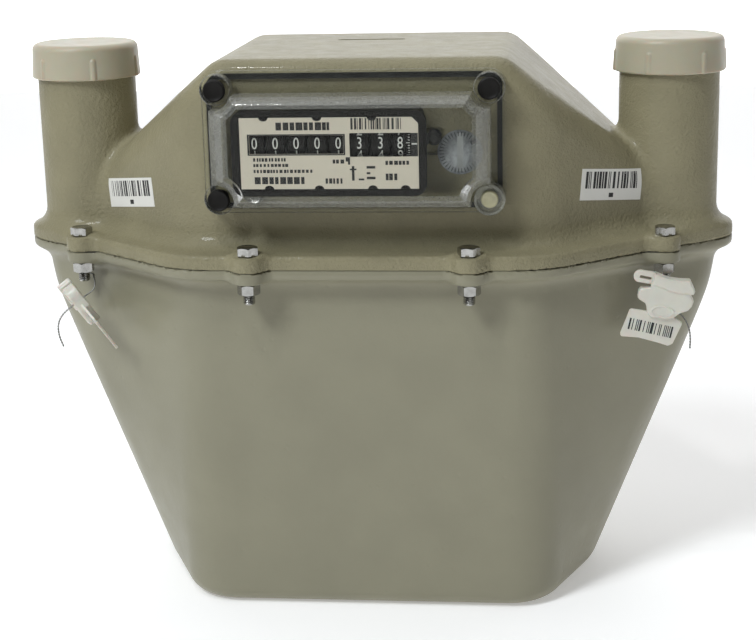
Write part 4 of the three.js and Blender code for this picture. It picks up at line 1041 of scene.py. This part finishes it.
def add_wheels():
    digits = [flat_digit(str(i), 4.6, 0.74) for i in range(10)]
    half = WHEEL_WIDTH / 2
    shaft_bore = 1.3
    profile = [(shaft_bore, -half), (WHEEL_RADIUS - 0.3, -half), (WHEEL_RADIUS, -half + 0.3)]
    profile += [(WHEEL_RADIUS, half - 0.3), (WHEEL_RADIUS - 0.3, half), (WHEEL_RADIUS - 1.2, half)]
    profile += [(WHEEL_RADIUS - 1.5, half - 1.5), (3, half - 1.5)]
    profile += [(2.6, half - 0.4), (shaft_bore, half - 0.4)]
    for i, (x, shown) in enumerate(zip(WHEEL_X, (0, 0, 0, 0, 0, 3, 3, 8))):
        wheel = turned(profile, "x", (x, WHEEL_Y, WHEEL_Z), 72, closed=True)
        name = f"number_wheel_{i + 1}"
        body = f"wheel_{i + 1}"
        mesh = make_mesh("wheel", *wheel)
        piece(f"digit_wheel_{i + 1}", mesh, BLACK_PLASTIC, body, [name])
        figures = []
        for figure, (points, faces) in enumerate(digits):
            shift = -0.6 if i == 7 else 0
            figures.append((on_drum(points, x + shift, 36 * (figure - shown), 0.1), faces))
        if i == 7:
            tick = lofted([box_outline(-0.5, 0.5, -0.16, 0.16)] * 2)[1]
            for step in range(50):
                long = 1.5 if step % 5 == 0 else 0.8
                mark = box_outline(half - 0.4 - long, half - 0.4, -0.12, 0.12)
                flat = [(px, pz, out) for out in (-0.5, 0.5) for px, pz in mark]
                figures.append((on_drum(flat, x, 7.2 * step, 0.1), tick))
        mesh = make_mesh("figures", *merged(*figures))
        piece(f"wheel_figures_{i + 1}", mesh, DIGIT_PAINT, body, sharp=20)


def add_wheel_shaft():
    profile = [(0.5, -46.5), (1.0, -46.2), (1.0, 27), (2.9, 27), (2.9, 27.3), (1.6, 28.3), (0.5, 28.4)]
    mesh = make_mesh("wheel_shaft", *turned(profile, "x", (0, WHEEL_Y, WHEEL_Z), 32))
    piece("counter_shaft", mesh, DARK_STEEL, "wheel_8", ["wheel_shaft"])


add_counter_frame()
add_dial()
add_wheels()
add_wheel_shaft()


# ---------- clear cover, its screws and the verification disc ----------

COVER_RIM = (-62.3, 58.3, 170.5, 227.4)
COVER_BOX = (-57, 52.6, 175.2, 218.6)
COVER_RIM_FRONT_Y = -62
COVER_BACK_Y = -59.6
COVER_FRONT_Y = -78
COVER_WALL = 1.6
COVER_BEVEL_X = 5.4
COVER_BEVEL_Z = 2.9
NOTCH_RADIUS = 7.2
BOSS_TUBE_RADIUS = 6.2
BOSS_FRONT_Y = -67.7
CUP_BOSS_FRONT_Y = -66
YELLOW_SCREW = 1


def notched_outline(amount, bevel=0.0):
    """The raised box's outline, moved in by an amount and a share of the bevel, hollowed round each screw."""
    x0, x1, z0, z1 = COVER_BOX
    inset_x, inset_z = amount + bevel * COVER_BEVEL_X, amount + bevel * COVER_BEVEL_Z
    x0, x1, z0, z1 = x0 + inset_x, x1 - inset_x, z0 + inset_z, z1 - inset_z
    radius = NOTCH_RADIUS + amount + bevel * COVER_BEVEL_Z
    outline = []
    for side_x, side_z, (sx, sz) in (
            (x1, z1, COVER_SCREWS[3]), (x0, z1, COVER_SCREWS[2]),
            (x0, z0, COVER_SCREWS[0]), (x1, z0, COVER_SCREWS[1])):
        inward_x = -math.copysign(1, side_x)
        inward_z = -math.copysign(1, side_z - (z0 + z1) / 2)
        on_side = (side_x, sz + inward_z * math.sqrt(radius ** 2 - (side_x - sx) ** 2))
        on_end = (sx + inward_x * math.sqrt(radius ** 2 - (side_z - sz) ** 2), side_z)
        ends = (on_side, on_end) if (inward_x < 0) == (inward_z < 0) else (on_end, on_side)
        turns = [math.atan2(z - sz, x - sx) for x, z in ends]
        sweep = (turns[1] - turns[0] + math.pi) % (2 * math.pi) - math.pi
        for i in range(13):
            turn = turns[0] + sweep * i / 12
            outline.append((sx + radius * math.cos(turn), sz + radius * math.sin(turn)))
    return outline


def add_cover():
    shoulder_y = -75.2
    levels = [
        (COVER_WALL, 1, COVER_FRONT_Y + COVER_WALL), (COVER_WALL, 0, shoulder_y + COVER_WALL),
        (COVER_WALL, 0, COVER_BACK_Y), (0, 0, COVER_BACK_Y), (0, 0, shoulder_y), (0, 0.12, shoulder_y - 0.6),
        (0, 0.85, COVER_FRONT_Y + 0.25), (0, 1, COVER_FRONT_Y),
    ]
    rings = [[(x, y, z) for x, z in notched_outline(amount, bevel)] for amount, bevel, y in levels]
    raised = make_mesh("cover", *lofted(rings))
    rim = plate(rounded_box(*COVER_RIM, 6.5), [notched_outline(0.8)], COVER_RIM_FRONT_Y, COVER_BACK_Y)
    tubes = []
    holes = []
    for i, (x, z) in enumerate(COVER_SCREWS):
        front = CUP_BOSS_FRONT_Y if i == YELLOW_SCREW else BOSS_FRONT_Y
        tube = [(0.1, COVER_BACK_Y), (BOSS_TUBE_RADIUS, COVER_BACK_Y), (BOSS_TUBE_RADIUS, front + 0.4)]
        tube += [(BOSS_TUBE_RADIUS - 0.4, front), (0.1, front)]
        tubes.append(make_mesh("tube", *turned(tube, "y", (x, 0, z), 48)))
        hole = [(2.1, -90), (2.1, -50)]
        holes.append(make_mesh("hole", *turned(hole, "y", (x, 0, z), 32)))
    mesh = combined(combined(raised, "UNION", rim, *tubes), "DIFFERENCE", *holes)
    mesh = bevelled(mesh, 0.25, 40)
    mesh.materials.clear()
    paints = [CLEAR, CLEAR_EDGE]
    cover = piece("clear_cover", mesh, paints, replaces=["window_cover"], sharp=25)
    # Front-facing faces stay clear; the bevel and sides get the grey body that paints the casing's paint
    # refracted through them.
    for face in cover.data.polygons:
        face.material_index = 0 if abs(face.normal.y) > 0.985 else 1


def cover_screw(x, z, front_y, back_y, radius, dish):
    tip_y = -49
    profile = [(0.4, tip_y), (1.6, tip_y - 0.5), (1.6, back_y)]
    profile += [(radius - 0.3, back_y), (radius, back_y - 0.3)]
    profile += [(radius, front_y + 0.6), (radius - 0.2, front_y + 0.2), (radius - 0.6, front_y)]
    profile += [(radius - 1.1, front_y + dish * 0.6), (radius * 0.5, front_y + dish), (0.3, front_y + dish)]
    return make_mesh("cover_screw", *turned(profile, "y", (x, 0, z), 48))


def add_cover_screws():
    for i, (x, z) in enumerate(COVER_SCREWS):
        node = f"cover_screw_{i + 1}"
        if i == YELLOW_SCREW:
            mesh = cover_screw(x, z, -69.6, -67.6, 3.4, 0.25)
            piece("sealed_cover_screw", mesh, YELLOW_ZINC, replaces=[node])
        else:
            mesh = cover_screw(x, z, -70.5, -68, 4.4, 0.5)
            piece(f"round_cover_screw_{i + 1}", mesh, BLACK_PLASTIC, replaces=[node])
    x, z = COVER_SCREWS[YELLOW_SCREW]
    back = CUP_BOSS_FRONT_Y - 0.3
    profile = [(2.1, back), (6.2, back), (6.2, -70.3), (5.9, -70.6)]
    profile += [(5.3, -70.6), (5, -70.3), (5, -67.3), (2.1, -67.3)]
    mesh = make_mesh("seal_cup", *turned(profile, "y", (x, 0, z), 48, closed=True))
    piece("clear_seal_cup", mesh, CLEAR_CUP, replaces=["seal_cup"], sharp=40)


def add_window_gasket():
    outer, inner = rounded_box(-60.8, 56.8, 172, 226, 5.4), rounded_box(-58.8, 54.8, 174, 223.8, 4)
    mesh = plate(outer, [inner], FRONT_WALL_Y - 1.3, FRONT_WALL_Y - 0.3)
    piece("cover_seal_ring", mesh, RUBBER, replaces=["window_gasket"])


def add_verification_disc():
    """Round foil mark on the casing's front wall, with plain rays and a plain band."""
    x, z = 40, 194
    radius = 8.9
    back_y = FRONT_WALL_Y - 0.05
    profile = [(0.3, back_y), (radius, back_y), (radius, back_y - 0.15), (radius - 0.1, back_y - 0.2)]
    profile += [(0.3, back_y - 0.2)]
    disc = make_mesh("disc", *turned(profile, "y", (x, 0, z), 64))
    piece("verification_disc", disc, FOIL)
    rays = []
    for i in range(36):
        turn = math.radians(10 * i + 5)
        spoke = []
        for along, across in ((6.4, -0.12), (8.2, -0.22), (8.2, 0.22), (6.4, 0.12)):
            spoke.append((x + along * math.cos(turn) - across * math.sin(turn),
                          z + along * math.sin(turn) + across * math.cos(turn)))
        rays.append(lofted([[(px, y, pz) for px, pz in spoke] for y in (back_y - 0.24, back_y - 0.2)]))
    wedge = [(x + 4, z + 4.2), (x + 6.2, z + 5.4), (x + 7.2, z + 4), (x + 4.6, z + 2.8)]
    rays.append(lofted([[(px, y, pz) for px, pz in wedge] for y in (back_y - 0.26, back_y - 0.2)]))
    piece("verification_rays", make_mesh("rays", *merged(*rays)), FOIL_DARK, sharp=20)
    band = bars([(x - 1.1, x + 1.3, z - 7.6, z + 7.6)], back_y - 0.2, 0.02)
    piece("verification_band", make_mesh("band", *band), FOIL_PALE, sharp=20)


add_cover()
add_window_gasket()
add_cover_screws()
add_verification_disc()


# ---------- wire seals ----------

SEAL_FLAP = [
    (-7.3, 8.2), (-5.5, 8.0), (-3, 7.4), (-0.6, 7.2), (3.4, 7.5), (7.5, 8.3), (10.3, 4.5), (10.1, 3.0),
    (5.7, 2.3), (0.6, 2.2), (-2.7, 3.0), (-6.8, 3.4),
]
SEAL_BODY = [
    (-7.4, 5), (-7.6, 2.0), (-11.1, 0.9), (-11.8, -0.5), (-11.6, -3.2), (-10.6, -3.9), (-8.0, -4.8),
    (-7.2, -6.2), (-6.4, -8.6), (-4.6, -9.9), (-0.1, -9.6), (4.2, -8.5), (6.7, -5.8), (9.4, -4.2),
    (10.5, -2.3), (10.8, 0.3), (9.2, 2.2), (9, 5),
]
SEAL_TAG = [
    (-12.6, -8.6), (-6.5, -8.2), (4.7, -8.4), (8.6, -9.8), (8.6, -11), (6.9, -19.4),
    (5.3, -20.7), (0.9, -20.3), (-7.1, -19.9), (-14.4, -21), (-14.9, -19.6), (-13.4, -9.2),
]
LEFT_ACROSS = Vector((-0.2286, -0.6518, 0.7235)).normalized()
LEFT_THROUGH = Vector((-0.6237, 0.6681, 0.4045)).cross(LEFT_ACROSS).normalized()
LEFT_UP = LEFT_ACROSS.cross(LEFT_THROUGH)
SEAL_PLACES = {
    "left": Matrix((LEFT_ACROSS, LEFT_THROUGH, LEFT_UP)).transposed(),
    "right": Matrix.Rotation(math.radians(12.5), 3, "Y"),
}
SEAL_CENTRES = {"left": (-121.97, -45.25, 128.98), "right": (123, -46.2, 133)}


def polygon_distance(x, z, outline, rounding):
    """Signed distance to an (x, z) polygon whose outer corners are rounded."""
    corners = inset(outline, rounding)
    nearest = np.full(np.broadcast(x, z).shape, 1e9)
    inside = np.zeros(nearest.shape, bool)
    for (x0, z0), (x1, z1) in zip(corners, corners[1:] + corners[:1]):
        ex, ez = x1 - x0, z1 - z0
        share = np.clip(((x - x0) * ex + (z - z0) * ez) / (ex * ex + ez * ez), 0, 1)
        nearest = np.minimum(nearest, np.hypot(x - x0 - share * ex, z - z0 - share * ez))
        if ez:
            inside ^= ((z0 > z) != (z1 > z)) & (x < ex * (z - z0) / ez + x0)
    return np.where(inside, -nearest, nearest) - rounding


def seal_block(x, y, z):
    """Moulded seal: winged body, a thicker flap on top, an oval ring on its front, a thin tag below."""
    body = blend_and(polygon_distance(x, z, SEAL_BODY, 0.8), np.abs(y) - 2.6, 0.7)
    flap = blend_and(polygon_distance(x, z, SEAL_FLAP, 0.6), np.abs(y + 0.3) - 3.1, 0.6)
    tag = blend_and(polygon_distance(x, z, SEAL_TAG, 0.9), np.abs(y) - 0.6, 0.25)
    ring = np.abs(np.hypot((x + 0.5) / 2, z + 6.6 - 0.1 * x) - 2.2) - 0.16
    ring = np.maximum(ring, np.abs(y + 2.7) - 0.2)
    block = np.minimum(blend_or(body, flap, 0.4), np.minimum(tag, ring))
    bore = np.maximum(np.hypot(x + 5.4, y) - 2.3, -5 - z)
    return np.maximum(block, -bore)


def pierced_seal_block(x, y, z):
    """The moulded seal with the hole its wire goes through."""
    return np.maximum(seal_block(x, y, z), 1.1 - np.hypot(x - 1, z))


def seal_turner(x, y, z):
    """The part of a seal that winds its wire: a round core under a flat handle with a slot."""
    core = blend_and(np.hypot(x + 5.4, y) - 1.9, np.abs(z - 0.8) - 5.4, 0.3)
    handle = np.hypot(np.maximum(np.abs(x + 10.2) - 2.3, 0), z - 5.6 - 0.06 * (x + 10)) - 2.6
    handle = blend_and(handle, np.abs(y) - 1.1, 0.5)
    slot = np.hypot(np.maximum(np.abs(x + 10.2) - 1.9, 0), z - 5.4) - 0.55
    return np.maximum(np.minimum(core, handle), -slot)


def placed(mesh, side):
    """Moves a mesh from the seal's own frame to its place on the meter."""
    matrix = SEAL_PLACES[side].to_4x4()
    matrix.translation = Vector(SEAL_CENTRES[side]) * MM
    mesh.transform(matrix)
    return mesh


def add_seal(side):
    shape = pierced_seal_block if side == "left" else seal_block
    block = placed(cast_mesh("seal_block", shape, (-15, -3.6, -21.5), (11, 3.4, 8.6), 0.35, 0.02), side)
    body = piece(f"{side}_seal_block", block, SEAL_PLASTIC, replaces=[f"{side}_seal_body"])
    turner = placed(cast_mesh("seal_turner", seal_turner, (-15.2, -2.2, -5), (-3, 2.2, 8.4), 0.3, 0.02), side)
    core = piece(f"{side}_seal_turner", turner, SEAL_PLASTIC, replaces=[f"{side}_seal_rotor"])
    dice = random.Random(5)
    stripes = bars(barcode(dice, -12.4, 6.2, -17.2, -12.4, 0.36), -0.6, 0.05)
    bar_mesh = placed(make_mesh("seal_bars", *stripes), side)
    marks = piece(f"{side}_seal_bars", bar_mesh, INK, sharp=20)


add_seal("left")
add_seal("right")


# ---------- stickers on the front facets ----------

FACET_NORMAL = (0.6413, -0.7673)
STICKERS = {"left": ((-100.1, -33.1, 173.7), 31, 12.2, 7.0), "right": ((100.5, -32.8, 176.2), 33, 12.8, 6.4)}


def on_casing(points, height):
    """Slides points along the facet's normal until they stand a height above the upper casing."""
    points = np.asarray(points, float)
    side = np.sign(points[0, 0])
    normal = np.array([side * FACET_NORMAL[0], FACET_NORMAL[1], 0])
    for _ in range(8):
        points = points - normal * (upper_casing(*points.T) - height)[:, None]
    return points


def sticker_place(side, along, up):
    """Point of a tilted sticker's plane; along runs outwards from the meter's middle."""
    centre, _, _, tilt = STICKERS[side]
    sign = -1 if side == "left" else 1
    lean = math.radians(tilt)
    run = along * math.cos(lean) + up * math.sin(lean)
    rise = up * math.cos(lean) - along * math.sin(lean)
    return (centre[0] + sign * run * -FACET_NORMAL[1], centre[1] + run * FACET_NORMAL[0], centre[2] + rise)


def conformed(side, x0, x1, z0, z1, low, high, steps_x, steps_z):
    """Thin sheet between two heights above the casing."""
    flat = [
        sticker_place(side, x0 + (x1 - x0) * i / steps_x, z0 + (z1 - z0) * j / steps_z)
        for j in range(steps_z + 1) for i in range(steps_x + 1)]
    count = len(flat)
    points = np.concatenate([on_casing(flat, high), on_casing(flat, low)])
    wide = steps_x + 1
    faces = []
    for j in range(steps_z):
        for i in range(steps_x):
            a = j * wide + i
            faces.append((a, a + 1, a + 1 + wide, a + wide))
            faces.append(tuple(count + k for k in (a, a + wide, a + 1 + wide, a + 1)))
    rim = [i for i in range(wide)] + [j * wide + steps_x for j in range(1, steps_z + 1)]
    rim += [steps_z * wide + i for i in range(steps_x - 1, -1, -1)]
    rim += [j * wide for j in range(steps_z - 1, 0, -1)]
    for a, b in zip(rim, rim[1:] + rim[:1]):
        faces.append((a, b, count + b, count + a))
    return points.tolist(), faces


def add_stickers():
    for side, (_, width, height, _) in STICKERS.items():
        half = width / 2
        sheet = conformed(side, -half, half, -height / 2, height / 2, 0.02, 0.14, 24, 8)
        piece(f"{side}_label", make_mesh("label", *sheet), STICKER, sharp=40)
        dice = random.Random(side)
        strips = [
            conformed(side, x0, x1, z0, z1, 0.13, 0.17, 1, 4)
            for x0, x1, z0, z1 in barcode(dice, -half + 2.2, half - 2.2, -1.6, height / 2 - 1.1, 0.42)]
        strips.append(conformed(side, -1.2, 1.2, -height / 2 + 1.2, -height / 2 + 3, 0.13, 0.17, 2, 1))
        piece(f"{side}_label_bars", make_mesh("bars", *merged(*strips)), INK, sharp=40)


add_stickers()


# ---------- surroundings ----------

def stage_material(name, colour, glow):
    paint = bpy.data.materials.new(name)
    paint.use_nodes = True
    shader = paint.node_tree.nodes["Principled BSDF"]
    shader.inputs["Base Color"].default_value = (*colour, 1)
    shader.inputs["Roughness"].default_value = 0.85
    shader.inputs["Emission Color"].default_value = (1, 1, 1, 1)
    shader.inputs["Emission Strength"].default_value = glow
    return paint


def add_stage():
    """Pale floor that curves up into a bright white backdrop."""
    depth, bend, height, half = 1700, 500, 3200, 3500
    section = [(-2500, 0), (depth, 0)]
    for degrees in range(10, 91, 10):
        angle = math.radians(degrees)
        section.append((depth + bend * math.sin(angle), bend * (1 - math.cos(angle))))
    section.append((depth + bend, height))
    points = [(x, y, z) for y, z in section for x in (-half, half)]
    faces = [(2 * i, 2 * i + 1, 2 * i + 3, 2 * i + 2) for i in range(len(section) - 1)]
    mesh = bpy.data.meshes.new("backdrop")
    mesh.from_pydata((np.array(points) * MM).tolist(), [], faces)
    mesh.materials.append(stage_material("floor", (0.88, 0.88, 0.88), 0.31))
    mesh.materials.append(stage_material("backdrop", (0.9, 0.9, 0.9), 0.9))
    for face in mesh.polygons[1:]:
        face.material_index = 1
    mesh.shade_smooth()
    obj = bpy.data.objects.new("backdrop", mesh)
    bpy.context.scene.collection.objects.link(obj)


def add_lamp(name, place, target, size, power, colour=(1, 1, 1)):
    data = bpy.data.lights.new(name, "AREA")
    data.shape = "RECTANGLE"
    data.size, data.size_y = size
    data.energy = power
    data.color = colour
    lamp = bpy.data.objects.new(name, data)
    lamp.location = place
    lamp.rotation_mode = "QUATERNION"
    lamp.rotation_quaternion = (Vector(target) - Vector(place)).to_track_quat("-Z", "Y")
    bpy.context.scene.collection.objects.link(lamp)


def add_light():
    world = bpy.data.worlds.new("studio")
    world.use_nodes = True
    world.node_tree.nodes["Background"].inputs[0].default_value = (1, 1, 1, 1)
    world.node_tree.nodes["Background"].inputs[1].default_value = 0.08
    bpy.context.scene.world = world
    middle = (0, 0, 0.13)
    add_lamp("key", (-0.95, -1.3, 1.7), middle, (0.6, 0.6), 27, (0.95, 1.0, 1.04))
    add_lamp("top", (-0.1, 0.2, 1.4), middle, (1.6, 1.2), 6)
    add_lamp("glint", (-0.25, -0.55, 1.25), middle, (0.09, 0.09), 2.2)


add_stage()
add_light()
bpy.context.scene.view_settings.view_transform = "Standard"
